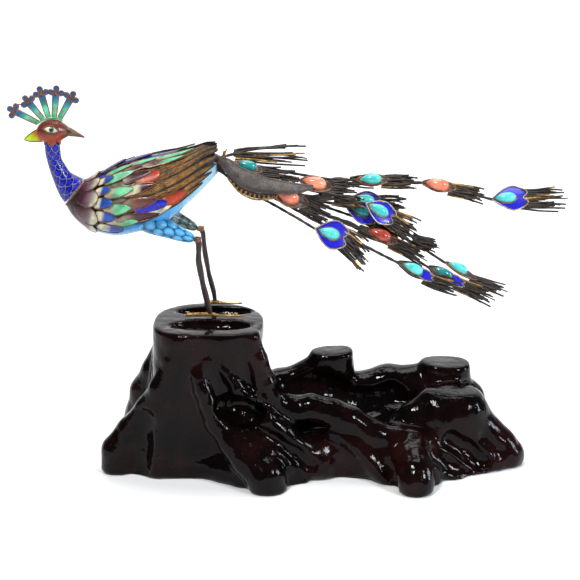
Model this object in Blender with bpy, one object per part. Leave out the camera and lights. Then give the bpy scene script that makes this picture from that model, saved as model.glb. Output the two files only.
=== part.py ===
"""Peacock figurine: an enamelled silver bird with stone-set wire feathers, standing on
a carved and lacquered hardwood root.

Metres, +Z up. The origin is the middle of the stand's flat underside. The bird's long
axis runs along X with its tail towards +X, and its left side faces -Y.
"""
from collections import namedtuple
from math import cos, pi, radians, sin

import bmesh
import bpy
from mathutils import Matrix, Vector

# Driving dimensions
STUMP_HEIGHT = 0.063          # flat top of the stump above the table
BODY_LENGTH = 0.064           # the bird's body from breast to tail root
FEET_X = -0.040               # where the bird stands on the stump
BODY_MIDLINE_Y = 0.008        # the bird's upright middle plane
SEAT_GAP = 0.00035            # clearance between pieces that touch
FEATHER_SHEET = 0.0008        # thickness of the tail feathers' metal
STEM_WIDTH = 0.0012           # twisted stem wire of a tail feather
BARB_WIDTH = 0.0008           # fringe wire of a tail feather
BARB_SLOT = 0.0003            # free slot between two fringe wires at their root
WING_SHEET = 0.0010           # thickness of a wing's shell
CREST_SHEET = 0.0009          # thickness of the crest
LAPPET_SHEET = 0.0013         # thickness of the nape lappet
SHIELD_SHEET = 0.0008         # thickness of the tail's shield plate
TURQUOISE = (0.0090, 0.0050, 0.0026)   # length, width and rise of a turquoise drop
CORAL = (0.0094, 0.0056, 0.0028)       # length, width and rise of a coral drop
WOOD_VOXEL = 0.0017           # fineness of the carved wood's surface
WOOD_FACES_KEPT = 0.085       # share of that surface's faces that is kept
POCKET_DEPTH = 0.0030         # lens-shaped pockets cut into the stump's top

# The bird's pose is given in sixty-fourths of its body's length, measured from its
# standing point: X from the feet, Y from the middle plane, Z from the stump's top.
BIRD_SHARE = BODY_LENGTH / 64
# The wood's form is given in sixty-thirds of the stump's height.
WOOD_SHARE = STUMP_HEIGHT / 63

Plate = namedtuple("Plate", "half_width outline barbs reach spread")
Feather = namedtuple("Feather", "name stem facing plates stones")


def on_bird(x, y, z):
    """A place on the bird, from its share coordinates."""
    feet = Vector((FEET_X, BODY_MIDLINE_Y, STUMP_HEIGHT + SEAT_GAP))
    return feet + BIRD_SHARE * Vector((x, y, z))


def in_wood(x, y, z):
    """A place in the stand, from its share coordinates."""
    return WOOD_SHARE * Vector((x, y, z))


def clear_scene():
    for thing in list(bpy.data.objects):
        bpy.data.objects.remove(thing, do_unlink=True)


def finish(name, colour, roughness, metallic=0.0):
    """A plain shader in the piece's own colour."""
    look = bpy.data.materials.new(name)
    look.use_nodes = True
    shader = look.node_tree.nodes["Principled BSDF"]
    shader.inputs["Base Color"].default_value = (*colour, 1.0)
    shader.inputs["Roughness"].default_value = roughness
    shader.inputs["Metallic"].default_value = metallic
    return look


def add_object(name, bm, look, smooth=True, sharp=40.0):
    """Turn a bmesh into a named object."""
    bmesh.ops.recalc_face_normals(bm, faces=bm.faces)
    mesh = bpy.data.meshes.new(name)
    bm.to_mesh(mesh)
    bm.free()
    if smooth:
        mesh.shade_smooth()
        mesh.set_sharp_from_angle(angle=radians(sharp))
    mesh.materials.append(look)
    piece = bpy.data.objects.new(name, mesh)
    bpy.context.collection.objects.link(piece)
    return piece


def make_cutter(piece):
    piece.hide_render = True
    piece.display_type = 'WIRE'
    return piece


def subtract(piece, cutter):
    cut = piece.modifiers.new("cut", 'BOOLEAN')
    cut.operation = 'DIFFERENCE'
    cut.object = cutter


def loft(bm, rings):
    """Skin a row of rings of points and close both ends."""
    loops = [[bm.verts.new(point) for point in ring] for ring in rings]
    count = len(loops[0])
    for near, far in zip(loops, loops[1:]):
        for i in range(count):
            j = (i + 1) % count
            bm.faces.new((near[i], near[j], far[j], far[i]))
    bm.faces.new(loops[0])
    bm.faces.new(loops[-1])


def closed_shell(bm, inner, outer):
    """Skin the space between two grids of points that face each other."""
    sheets = [[[bm.verts.new(p) for p in row] for row in grid] for grid in (inner, outer)]
    rows, columns = len(inner), len(inner[0])
    for sheet in sheets:
        for i in range(rows - 1):
            for j in range(columns - 1):
                bm.faces.new((sheet[i][j], sheet[i + 1][j], sheet[i + 1][j + 1], sheet[i][j + 1]))
    border = [(i, 0) for i in range(rows)]
    border += [(rows - 1, j) for j in range(1, columns)]
    border += [(i, columns - 1) for i in range(rows - 2, -1, -1)]
    border += [(0, j) for j in range(columns - 2, 0, -1)]
    for (i, j), (k, m) in zip(border, border[1:] + border[:1]):
        bm.faces.new((sheets[0][i][j], sheets[0][k][m], sheets[1][k][m], sheets[1][i][j]))


# The body

# Each section of the body joins a point of its lower outline to one of its upper outline,
# both as (x, z), and gives its half width.
BODY_SECTIONS = [
    ((-57.3, 44.6), (-49.6, 54.2), 5.5),
    ((-54.5, 39.8), (-46.5, 55.0), 8.0),
    ((-50.0, 35.9), (-42.5, 56.8), 10.5),
    ((-44.5, 33.3), (-38.0, 59.0), 12.3),
    ((-37.0, 32.0), (-32.5, 61.0), 13.5),
    ((-29.0, 33.4), (-25.5, 62.6), 13.8),
    ((-20.0, 36.2), (-18.0, 63.6), 13.2),
    ((-13.5, 40.3), (-11.0, 64.5), 11.8),
    ((-8.5, 45.0), (-5.5, 65.5), 10.0),
    ((-4.0, 49.2), (-1.5, 66.0), 8.0),
    ((1.0, 54.5), (2.0, 65.2), 5.8),
    ((3.4, 57.3), (3.6, 64.6), 4.4),
]
NECK_SECTIONS = [
    ((-57.6, 45.2), (-49.9, 54.7), 5.4),
    ((-59.4, 47.9), (-52.3, 55.9), 4.6),
    ((-61.1, 52.2), (-54.9, 57.4), 4.0),
    ((-62.9, 58.0), (-56.5, 59.9), 3.5),
    ((-64.0, 62.7), (-58.1, 62.9), 3.1),
    ((-64.5, 66.0), (-58.4, 66.0), 3.0),
    ((-64.5, 69.6), (-58.7, 69.6), 2.9),
]
HEAD_SEAT = 70.0
HEAD_SECTIONS = [
    ((-67.3, 73.2), (-67.3, 75.2), 1.6),
    ((-66.3, 71.6), (-66.3, 76.7), 3.0),
    ((-64.5, 69.6), (-64.5, 78.0), 4.1),
    ((-61.5, 69.3), (-61.5, 78.8), 4.7),
    ((-58.8, 69.5), (-58.8, 78.6), 4.4),
    ((-56.8, 71.0), (-56.8, 77.5), 3.4),
    ((-55.2, 71.9), (-55.2, 76.1), 2.4),
]
BEAK_SECTIONS = [
    ((-54.8, 72.0), (-54.8, 75.7), 1.8),
    ((-52.5, 71.8), (-52.5, 74.4), 1.3),
    ((-50.2, 71.5), (-50.2, 72.9), 0.7),
    ((-48.7, 71.3), (-48.7, 71.9), 0.25),
]


def section_point(section, turn, grow=0.0, floor=None):
    """A point of an oval section. The turn starts at the top and goes by the left side."""
    (low_x, low_z), (high_x, high_z), half_width = section
    middle = Vector(((low_x + high_x) / 2, 0, (low_z + high_z) / 2))
    rise = Vector(((high_x - low_x) / 2, 0, (high_z - low_z) / 2))
    rise *= 1 + grow / rise.length
    point = middle + rise * cos(turn)
    point.y = -(half_width + grow) * sin(turn)
    if floor is not None:
        point.z = max(point.z, floor)
    return on_bird(*point)


def oval_loft(bm, sections, sides, grow=0.0, floor=None):
    turns = [2 * pi * i / sides for i in range(sides)]
    loft(bm, [[section_point(s, turn, grow, floor) for turn in turns] for s in sections])


def oval_piece(name, sections, sides, look, grow=0.0, floor=None):
    bm = bmesh.new()
    oval_loft(bm, sections, sides, grow, floor)
    return add_object(name, bm, look)


BODY_SIDES = 20
WING_FIRST, WING_LAST = 3, 11
WING_TOP_SIDE, WING_LOW_SIDES = 0.6, (7.6, 7.6, 7.6, 7.2, 6.7, 6.2, 5.5, 4.7, 3.7)
WING_LIFT = (0, 0, 0, 0, 0, 0.3, 1.0, 2.2, 3.6)
WING_ROWS = 8


def wing(name, side, look, margin=0.0):
    """A shell that follows the body's flank and lifts off it towards the tail.

    A margin makes it larger all round, for the room that it takes in its neighbours.
    """
    clear = SEAT_GAP / BIRD_SHARE
    sheet = WING_SHEET / BIRD_SHARE
    grow = margin / BIRD_SHARE
    grids = []
    for offset in (clear - grow, clear + sheet + grow):
        grid = []
        for section, low, lift in zip(BODY_SECTIONS[WING_FIRST:WING_LAST + 1], WING_LOW_SIDES, WING_LIFT):
            row = []
            for i in range(WING_ROWS):
                share = i / (WING_ROWS - 1)
                side_count = WING_TOP_SIDE + (low - WING_TOP_SIDE) * share
                if i == WING_ROWS - 1:
                    side_count += grow / section[2] * BODY_SIDES / (2 * pi)
                raised = offset + lift * (1 - 0.6 * share)
                row.append(section_point(section, side * side_count * 2 * pi / BODY_SIDES, raised))
            grid.append(row)
        grids.append(grid)
    bm = bmesh.new()
    closed_shell(bm, *grids)
    return add_object(name, bm, look)


# Legs and feet

def side_axes(direction):
    """Two unit vectors square to a direction, the first one level."""
    first = Vector((0, 1, 0)).cross(direction)
    if first.length < 0.2:
        first = Vector((1, 0, 0)).cross(direction)
    first.normalize()
    return first, direction.cross(first).normalized()


def tube_rings(points, sides, flute=0.0, twist=0.0):
    """Rings round a path of (x, y, z, radius). Flutes turn along it as on twisted wire."""
    places = [on_bird(*point[:3]) for point in points]
    rings = []
    for i, (place, point) in enumerate(zip(places, points)):
        before, after = places[max(i - 1, 0)], places[min(i + 1, len(places) - 1)]
        across, along = side_axes((after - before).normalized())
        ring = []
        for k in range(sides):
            turn = 2 * pi * k / sides + twist * i
            radius = point[3] * BIRD_SHARE * (1 - flute + flute * cos(2 * (turn - twist * i)))
            ring.append(place + radius * (cos(turn) * across + sin(turn) * along))
        rings.append(ring)
    return rings


def tube_piece(name, points, sides, look, flute=0.0, twist=0.0):
    bm = bmesh.new()
    loft(bm, tube_rings(points, sides, flute, twist))
    return add_object(name, bm, look)


def spread_points(points, count):
    """Points at even steps along a polyline of (x, y, z, radius)."""
    places = [Vector(p) for p in points]
    lengths = [0.0]
    for a, b in zip(places, places[1:]):
        lengths.append(lengths[-1] + (b - a).to_3d().length)
    result = []
    for i in range(count):
        goal = lengths[-1] * i / (count - 1)
        k = max(j for j in range(len(lengths) - 1) if lengths[j] <= goal + 1e-9)
        share = (goal - lengths[k]) / (lengths[k + 1] - lengths[k])
        result.append(places[k].lerp(places[k + 1], share))
    return result


THIGH_LEFT = [(-26, -5.5, 40, 4.8), (-22.5, -6.2, 38.4, 4.6), (-17.4, -7, 36.6, 3.9),
              (-11.5, -8, 34.2, 2.8), (-5.7, -9, 32.4, 1.8)]
THIGH_RIGHT = [(-26, 5.0, 41, 4.4), (-22, 5.5, 40.0, 4.3), (-16.5, 6.3, 37.6, 3.7),
               (-10.5, 6.8, 34.9, 2.5), (-5.4, 7, 32.2, 1.5)]
LEG_LEFT = [(-3.9, -9.0, 33.0, 1.15), (-4.1, -9.0, 31.0, 1.3), (-4.3, -8.9, 23.5, 1.3),
            (-2.8, -8.7, 13.9, 1.3), (-1.3, -8.6, 7.2, 1.25), (-0.1, -8.6, 2.9, 1.2)]
LEG_RIGHT = [(-3.5, 7.0, 33.0, 1.0), (-3.3, 7.0, 30.4, 1.1), (-2.6, 7.0, 22.6, 1.1),
             (-1.1, 7.1, 13.0, 1.1), (0.8, 7.2, 5.2, 1.05), (1.2, 7.2, 2.9, 1.0)]
FOOT_KNOB = 1.15
FOOT_LEFT = [(-10.2, -8.6, 0.4), (-9.0, -8.6, 0.8), (-5.5, -8.6, 0.9), (-1.9, -8.6, 0.9),
             (-0.1, -8.6, FOOT_KNOB), (2.0, -8.6, 0.7), (5.0, -8.6, 0.45), (13.4, -8.6, 0.4)]
FOOT_RIGHT = [(-3.4, 7.2, 0.4), (-2.0, 7.2, 0.8), (-0.4, 7.2, 0.9), (1.2, 7.2, FOOT_KNOB),
              (3.6, 7.2, 0.7), (6.0, 7.2, 0.45), (12.4, 7.2, 0.4)]
LEG_RINGS = 15
LEG_TWIST = radians(38)


def legs_and_feet(enamel, wire, gilt):
    bm = bmesh.new()
    oval_loft(bm, BODY_SECTIONS, BODY_SIDES, grow=SEAT_GAP / BIRD_SHARE)
    body_room = make_cutter(add_object("body_room", bm, enamel))
    for side, thigh, leg, foot in (("left", THIGH_LEFT, LEG_LEFT, FOOT_LEFT),
                                   ("right", THIGH_RIGHT, LEG_RIGHT, FOOT_RIGHT)):
        limb = tube_piece("thigh_" + side, thigh, 12, enamel)
        subtract(limb, body_room)
        turn = 1 if side == "left" else -1
        subtract(limb, make_cutter(wing("wing_room_" + side, turn, enamel, margin=SEAT_GAP)))
        tube_piece("leg_" + side, spread_points(leg, LEG_RINGS), 8, wire, flute=0.16, twist=LEG_TWIST)
        tube_piece("foot_" + side, [(x, y, r, r) for x, y, r in foot], 6, gilt)


# Flat ornaments cut from sheet

def sheet_piece(name, outline, thickness, look):
    """An outline of (x, z) shares in the bird's middle plane, cut from sheet."""
    bm = bmesh.new()
    half = Vector((0, thickness / 2, 0))
    front = [bm.verts.new(on_bird(x, 0, z) - half) for x, z in outline]
    face = bm.faces.new(front)
    lifted = bmesh.ops.extrude_face_region(bm, geom=[face])["geom"]
    bmesh.ops.translate(bm, verts=[v for v in lifted if isinstance(v, bmesh.types.BMVert)], vec=half * 2)
    bmesh.ops.triangulate(bm, faces=bm.faces, ngon_method='EAR_CLIP')
    return add_object(name, bm, look)


LAPPET_OUTLINE = [
    (-67.9, 75.3), (-68.8, 74.6), (-69.9, 73.0), (-71.3, 71.5), (-72.4, 70.7), (-71.2, 69.6),
    (-69.6, 69.1), (-67.3, 69.2), (-65.4, 69.4), (-66.1, 70.3), (-67.1, 71.3), (-67.9, 72.8),
]
# Each plume of the crest: the middle of its foot and of its top.
PLUMES = [
    ((-66.7, 77.3), (-75.0, 81.6)),
    ((-64.8, 78.8), (-69.6, 84.9)),
    ((-62.6, 79.6), (-64.8, 88.0)),
    ((-60.3, 79.7), (-59.3, 88.2)),
    ((-58.1, 79.3), (-53.9, 86.4)),
]
PLUME_HALF_WIDTHS = (0.8, 1.05)
CREST_BAND_LOW = [(-57.0, 78.1), (-58.7, 79.1), (-61.5, 79.3), (-64.7, 78.5), (-66.9, 76.9)]
LOBE_TURNS = (-62, 0, 62)
LOBE_DISTANCES = (2.5, 3.3, 2.5)
LOBE_HALF_LENGTH, LOBE_HALF_WIDTH, LOBE_NECK = 1.25, 0.85, 0.35


def plume_outline(foot, top):
    """One plume from its left foot round three lobes to its right foot."""
    foot, top = Vector(foot), Vector(top)
    along = (top - foot).normalized()
    across = Vector((along.y, -along.x))
    low, high = PLUME_HALF_WIDTHS
    points = [foot - across * low, top - across * high]
    for turn, distance in zip(LOBE_TURNS, LOBE_DISTANCES):
        ahead = along * cos(radians(turn)) + across * sin(radians(turn))
        aside = Vector((ahead.y, -ahead.x))
        centre = top + ahead * distance
        neck = centre - ahead * LOBE_HALF_LENGTH
        points += [neck - aside * LOBE_NECK, centre - aside * LOBE_HALF_WIDTH,
                   centre + ahead * LOBE_HALF_LENGTH,
                   centre + aside * LOBE_HALF_WIDTH, neck + aside * LOBE_NECK]
    points += [top + across * high, foot + across * low]
    return [tuple(p) for p in points]


def crest_outline():
    outline = []
    for foot, top in PLUMES:
        outline += plume_outline(foot, top)
    return outline + CREST_BAND_LOW


# The tail feathers

# Plate outlines: places along the plate's length, and shares of its half width there.
HEART = ((0.10, 0.34), (0.28, 0.70), (0.52, 0.96), (0.78, 1.0), (1.0, 0.72))
CUP = ((0.14, 0.62), (0.40, 0.95), (0.72, 1.0), (1.0, 0.74))
TUFT = ((0.5, 0.7), (1.0, 1.0))
BARB_LENGTHS = (1.0, 0.78, 0.92, 0.70, 0.86)


class FeatherFrame:
    """Places along a feather's stem: s runs along it, w to its side and h off its face."""

    def __init__(self, feather):
        self.points = [on_bird(*p) for p in feather.stem]
        facing = Vector(feather.facing).normalized()
        runs = [(b - a).normalized() for a, b in zip(self.points, self.points[1:])]
        self.lengths = [0.0]
        for a, b in zip(self.points, self.points[1:]):
            self.lengths.append(self.lengths[-1] + (b - a).length)
        self.sides, self.normals = [], []
        for i in range(len(self.points)):
            if i in feather.plates:
                run = runs[i]
            elif i - 1 in feather.plates:
                run = runs[i - 1]
            else:
                run = (runs[max(i - 1, 0)] + runs[min(i, len(runs) - 1)]).normalized()
            normal = (facing - facing.dot(run) * run).normalized()
            self.normals.append(normal)
            self.sides.append(normal.cross(run).normalized())

    def place(self, s, w, h):
        last = len(self.lengths) - 2
        k = max([0] + [j for j in range(last + 1) if self.lengths[j] <= s])
        share = (s - self.lengths[k]) / (self.lengths[k + 1] - self.lengths[k])
        middle = self.points[k] + (self.points[k + 1] - self.points[k]) * share
        held = min(max(share, 0.0), 1.0)
        side = self.sides[k].lerp(self.sides[k + 1], held)
        normal = self.normals[k].lerp(self.normals[k + 1], held)
        return middle + side * w + normal * h


def feather_edge(frame, feather, i, shift):
    """One edge of the feather's i-th length and the outlines of its barbs, as (s, w)."""
    stem = STEM_WIDTH / 2
    start, end = frame.lengths[i], frame.lengths[i + 1]
    plate = feather.plates.get(i)
    if plate is None:
        return [], []
    half_width = plate.half_width * BIRD_SHARE
    edge = [(start + f * (end - start), max(stem, g * half_width)) for f, g in plate.outline]
    widest = plate.outline[-1][1] * half_width
    pitch = (widest - stem - BARB_SLOT) / plate.barbs
    barbs = []
    for k in range(plate.barbs):
        outer = widest - k * pitch
        inner = outer - pitch + BARB_SLOT
        reach = plate.reach * BIRD_SHARE * BARB_LENGTHS[(k + shift) % len(BARB_LENGTHS)]
        middle = (outer + inner) / 2 * (1 + plate.spread)
        tip = min(BARB_WIDTH, outer - inner) / 2
        if k:
            edge.append((end, outer))
        edge.append((end, inner))
        barbs.append([(end, outer), (end + reach, middle + tip), (end + reach, middle - tip), (end, inner)])
    return edge, barbs


def make_feather(feather, look):
    """The feather's outline cut from sheet and bent along its stem."""
    frame = FeatherFrame(feather)
    last = len(frame.lengths) - 1
    bm = bmesh.new()
    corners = {}

    def corner(s, w):
        if (s, w) not in corners:
            corners[s, w] = bm.verts.new((s, w, -FEATHER_SHEET / 2))
        return corners[s, w]

    def station(i):
        half = BARB_WIDTH / 2 if i == last else STEM_WIDTH / 2
        return (frame.lengths[i], half), (frame.lengths[i], -half)

    faces = []
    for i in range(last):
        near, far = station(i), station(i + 1)
        left, left_barbs = feather_edge(frame, feather, i, 0)
        right, right_barbs = feather_edge(frame, feather, i, 2)
        mirrored = [[(s, -w) for s, w in outline] for outline in [right] + right_barbs]
        outlines = [[near[0]] + left + [far[0], far[1]] + mirrored[0][::-1] + [near[1]]]
        outlines += left_barbs + [outline[::-1] for outline in mirrored[1:]]
        faces += [bm.faces.new([corner(*point) for point in outline]) for outline in outlines]
    lifted = bmesh.ops.extrude_face_region(bm, geom=faces)["geom"]
    tops = [v for v in lifted if isinstance(v, bmesh.types.BMVert)]
    bmesh.ops.translate(bm, verts=tops, vec=(0, 0, FEATHER_SHEET))
    bmesh.ops.triangulate(bm, faces=bm.faces, ngon_method='EAR_CLIP')
    for vert in bm.verts:
        vert.co = frame.place(*vert.co)
    add_object("feather_" + feather.name, bm, look)
    return frame


STONE_SIDES = 12
STONE_RINGS = ((1.0, 0.0), (0.97, 0.36), (0.64, 0.85))


def stone(name, frame, station, offset, size, look):
    """A drop-shaped domed stone on a feather's plate, its point towards the root."""
    length, width, rise = size
    base = FEATHER_SHEET / 2 + SEAT_GAP
    start = frame.lengths[station] + offset * BIRD_SHARE
    widest = max(sin(t / 50 * pi) * sin(t / 100 * pi) ** 0.6 for t in range(51))
    centre = 0.58 * length
    rings = []
    for scale, height in STONE_RINGS:
        ring = []
        for i in range(STONE_SIDES):
            turn = 2 * pi * i / STONE_SIDES
            s = length * (1 - cos(turn)) / 2
            w = width / 2 * sin(turn) * abs(sin(turn / 2)) ** 0.6 / widest
            ring.append(frame.place(start + centre + (s - centre) * scale, w * scale, base + rise * height))
        rings.append(ring)
    bm = bmesh.new()
    loft(bm, rings)
    bm.faces.ensure_lookup_table()
    crown = bmesh.ops.poke(bm, faces=[bm.faces[-1]])["verts"][0]
    crown.co = frame.place(start + centre, 0, base + rise)
    return add_object(name, bm, look, sharp=60)


ROOT_X = 4.2
FEATHERS = [
    Feather("front_heart",
            [(ROOT_X, -3.0, 58.9), (14.3, -3.2, 51.4), (27.7, -4.0, 44.0), (34.8, -8.0, 40.9),
             (41.8, -12.0, 37.6), (54.1, -12.0, 33.4), (62.9, -13.0, 24.3)],
            (0.1, -0.85, 0.5), {4: Plate(4.8, HEART, 4, 10.0, 0.35)}, {4: ("turquoise", 1.6)}),
    Feather("near_low",
            [(ROOT_X, -3.0, 60.6), (15.5, -3.2, 53.2), (28.5, -3.6, 46.4), (38.0, -5.6, 41.5),
             (53.7, -8.6, 34.0), (67.5, -9.5, 26.7), (74.7, -10.0, 23.1), (87.9, -10.0, 16.5),
             (100.4, -10.0, 11.9)],
            (0.3, -0.5, 0.8), {6: Plate(3.6, HEART, 3, 10.0, 0.1)}, {6: ("turquoise", 2.2)}),
    Feather("low_coral",
            [(ROOT_X, -1.2, 60.4), (16.2, -1.2, 52.3), (20.9, -1.2, 50.0), (36.0, -1.6, 43.8),
             (51.8, -3.2, 39.1), (62.1, -4.0, 34.6), (74.5, -4.3, 29.4), (87.0, -4.3, 21.9)],
            (0.2, -0.5, 0.85),
            {4: Plate(2.0, TUFT, 2, 13.0, 0.4), 5: Plate(3.2, CUP, 3, 11.0, 0.1)}, {5: ("coral", 1.2)}),
    Feather("middle_heart",
            [(ROOT_X, -1.2, 62.1), (16.2, -1.2, 54.8), (30.0, -0.8, 49.6), (40.0, -1.2, 48.0),
             (51.8, -1.5, 46.6), (62.1, -1.5, 45.0), (73.2, -1.5, 38.7), (82.9, -1.5, 32.1)],
            (0.1, -0.75, 0.65),
            {3: Plate(2.2, TUFT, 1, 10.0, 0.1), 5: Plate(4.0, HEART, 3, 11.0, 0.3)},
            {5: ("turquoise", 1.4)}),
    Feather("under_coral",
            [(ROOT_X, -1.2, 63.7), (15.0, -3.2, 56.9), (24.9, -4.5, 50.6), (39.1, -4.5, 45.3),
             (48.7, -5.2, 40.6)],
            (0.0, -0.7, 0.7), {2: Plate(4.0, CUP, 4, 10.0, 0.1)}, {2: ("coral", 1.8)}),
    Feather("shaded_heart",
            [(ROOT_X, 0.6, 60.4), (20.1, 1.0, 52.2), (40.0, 1.5, 45.8), (53.9, 1.5, 43.5),
             (66.3, 1.5, 38.1), (80.9, 1.5, 30.4), (84.0, 1.5, 29.0), (92.3, 1.5, 25.6)],
            (0.0, -0.7, 0.7),
            {3: Plate(4.0, HEART, 3, 12.0, 0.1), 5: Plate(2.2, TUFT, 2, 8.0, 0.0)},
            {3: ("turquoise", 2.0)}),
    Feather("middle_low",
            [(ROOT_X, 0.6, 58.7), (20.9, 1.0, 50.0), (40.0, 1.0, 42.1), (56.0, 0.0, 35.7),
             (74.1, -1.0, 27.0), (87.5, -2.6, 18.9), (101.0, -2.6, 11.7), (114.9, -2.6, 4.9)],
            (0.25, -0.45, 0.85), {5: Plate(3.6, HEART, 3, 12.0, 0.1)}, {5: ("turquoise", 2.0)}),
    Feather("upper_coral",
            [(ROOT_X, 0.6, 62.8), (18.1, 0.8, 57.8), (36.0, 1.0, 53.8), (48.3, 1.0, 50.8),
             (55.9, 1.0, 49.4)],
            (0.05, -0.6, 0.8), {2: Plate(3.8, CUP, 3, 8.0, 0.2)}, {2: ("coral", 1.2)}),
    Feather("far_low",
            [(ROOT_X, 2.4, 59.2), (24.0, 4.0, 50.2), (44.1, 5.5, 42.6), (64.3, 6.0, 35.3),
             (83.4, 5.0, 26.3), (94.9, 4.5, 18.6), (107.7, 4.5, 11.4), (120.9, 4.5, 6.2)],
            (0.3, -0.3, 0.9), {5: Plate(3.0, CUP, 2, 10.0, 0.1)}, {5: ("turquoise", 1.4)}),
    Feather("far_heart",
            [(ROOT_X, 2.4, 61.0), (24.0, 5.0, 53.5), (44.0, 7.6, 47.1), (56.0, 8.2, 44.5),
             (68.0, 8.2, 42.7), (78.0, 8.2, 41.1)],
            (0.0, -0.7, 0.7), {3: Plate(3.6, HEART, 3, 9.0, 0.2)}, {3: ("turquoise", 1.6)}),
    Feather("top_wires",
            [(ROOT_X, 2.4, 62.8), (9.1, 3.0, 64.0), (13.0, 3.6, 64.2), (28.0, 5.0, 63.8),
             (38.8, 6.0, 61.6)],
            (0.0, -0.85, 0.5), {1: Plate(2.2, TUFT, 2, 26.0, 0.9)}, {}),
    Feather("inner",
            [(ROOT_X, -2.9, 63.2), (9.6, -3.4, 62.0), (21.0, -3.2, 58.6), (36.0, -3.0, 55.4)],
            (0.0, -0.5, 0.85), {1: Plate(3.0, CUP, 3, 15.0, 0.2)}, {1: ("turquoise", 1.4)}),
    Feather("long",
            [(ROOT_X, 4.1, 61.3), (24.0, 7.4, 56.8), (47.3, 8.0, 52.6), (59.0, 8.0, 52.2),
             (71.5, 8.0, 52.2), (85.0, 7.6, 51.2), (98.5, 6.6, 49.0), (113.0, 5.5, 44.8),
             (127.0, 5.5, 45.6), (143.5, 5.5, 45.2)],
            (0.0, -0.65, 0.76),
            {2: Plate(1.9, TUFT, 1, 9.0, 0.6), 3: Plate(3.0, CUP, 1, 12.0, 0.0),
             5: Plate(3.1, CUP, 1, 12.0, 0.0), 7: Plate(4.8, HEART, 4, 11.0, 0.05)},
            {3: ("turquoise", 1.2), 5: ("coral", 1.6), 7: ("turquoise", 1.2)}),
]


def tail(wire, stones):
    for feather in FEATHERS:
        frame = make_feather(feather, wire)
        for count, (station, (kind, offset)) in enumerate(sorted(feather.stones.items())):
            size, look = stones[kind]
            suffix = "" if len(feather.stones) == 1 else "_%d" % (count + 1)
            stone(kind + "_" + feather.name + suffix, frame, station, offset, size, look)


# The shield plate: its upper edge, its fullest line and its lower edge, root to tip
SHIELD_UPPER = [(4.0, -4.9, 64.9), (8.6, -7.2, 64.4), (12.5, -8.3, 61.6), (17.6, -8.6, 59.2),
                (24.2, -8.4, 56.9), (30.4, -8.0, 55.4), (35.9, -7.0, 54.4), (41.1, -5.6, 53.4)]
SHIELD_LOWER = [(4.0, -4.9, 63.0), (8.0, -7.2, 58.2), (12.7, -8.8, 54.2), (17.8, -9.4, 52.1),
                (24.1, -9.4, 51.6), (30.4, -9.0, 51.3), (36.3, -8.0, 51.3), (41.1, -5.8, 52.7)]
SHIELD_FULLNESS = (0.1, 1.2, 2.0, 2.2, 1.9, 1.4, 0.9, 0.2)
SHIELD_ROWS = 5


def shield_plate(look):
    """A leaf of sheet metal, hollow towards the feathers, over the tail's root."""
    grids = []
    for offset in (0.0, SHIELD_SHEET / BIRD_SHARE):
        grid = []
        for upper, lower, full in zip(SHIELD_UPPER, SHIELD_LOWER, SHIELD_FULLNESS):
            row = []
            for k in range(SHIELD_ROWS):
                share = k / (SHIELD_ROWS - 1)
                x, y, z = (a + (b - a) * share for a, b in zip(upper, lower))
                row.append(on_bird(x, y - full * sin(pi * share) - offset, z))
            grid.append(row)
        grids.append(grid)
    bm = bmesh.new()
    closed_shell(bm, *grids)
    return add_object("shield_plate", bm, look)


SCROLL_SPAN = (8.4, 27.6)
SCROLL_STATIONS = 17
SCROLL_DEPTH, SCALLOPS = 2.7, 4


def undertail_scroll(look):
    """A scalloped strip of scrollwork along the shield's lower edge."""
    clear, sheet = SEAT_GAP / BIRD_SHARE, SHIELD_SHEET / BIRD_SHARE
    grids = []
    for offset in (0.0, sheet):
        grid = []
        for i in range(SCROLL_STATIONS):
            share = i / (SCROLL_STATIONS - 1)
            x = SCROLL_SPAN[0] + (SCROLL_SPAN[1] - SCROLL_SPAN[0]) * share
            k = max(j for j in range(len(SHIELD_LOWER) - 1) if SHIELD_LOWER[j][0] <= x)
            near, far = Vector(SHIELD_LOWER[k]), Vector(SHIELD_LOWER[k + 1])
            edge = near.lerp(far, (x - near.x) / (far.x - near.x))
            scallop = 0.65 + 0.35 * abs(sin(SCALLOPS * pi * share))
            drop = SCROLL_DEPTH * scallop * (0.35 + 0.65 * sin(pi * share))
            row = []
            for low in (0.0, 0.5, 1.0):
                row.append(on_bird(x - 0.4 * low, edge.y - offset + 0.5 * low, edge.z - 2 * clear - drop * low))
            grid.append(row)
        grids.append(grid)
    bm = bmesh.new()
    closed_shell(bm, *grids)
    return add_object("undertail_scroll", bm, look)


# The carved stand

# The stump's trunk as level rings: centre (x, y), height, half length and half depth
TRUNK = [(-46, 1, -9, 30.5, 18.5), (-46, 1, 8, 30.5, 18.8), (-44.5, 0.3, 20, 27, 19.4), (-42.8, -0.5, 35, 22, 19.8),
         (-41.4, -1, 50, 21.6, 20.2), (-40.8, -1.2, 58, 22.0, 20.8), (-40.6, -1.2, 64.6, 22.2, 20.9)]
# How square the front half and the back half of a trunk ring are, 2 being an ellipse
TRUNK_SQUARENESS = (3.2, 2.2)
STUBS = [
    [(9.5, 13.5, 2, 13), (9.5, 13.5, 20, 11), (9.5, 13.5, 34, 9.2), (9.5, 13.5, 45.5, 8.6)],
    [(57, 16, 4, 13), (57, 16, 20, 11.5), (57, 16.5, 30, 10.5), (57, 16.8, 39.5, 10.0)],
]
STUB_DEPTH = 0.78
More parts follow.
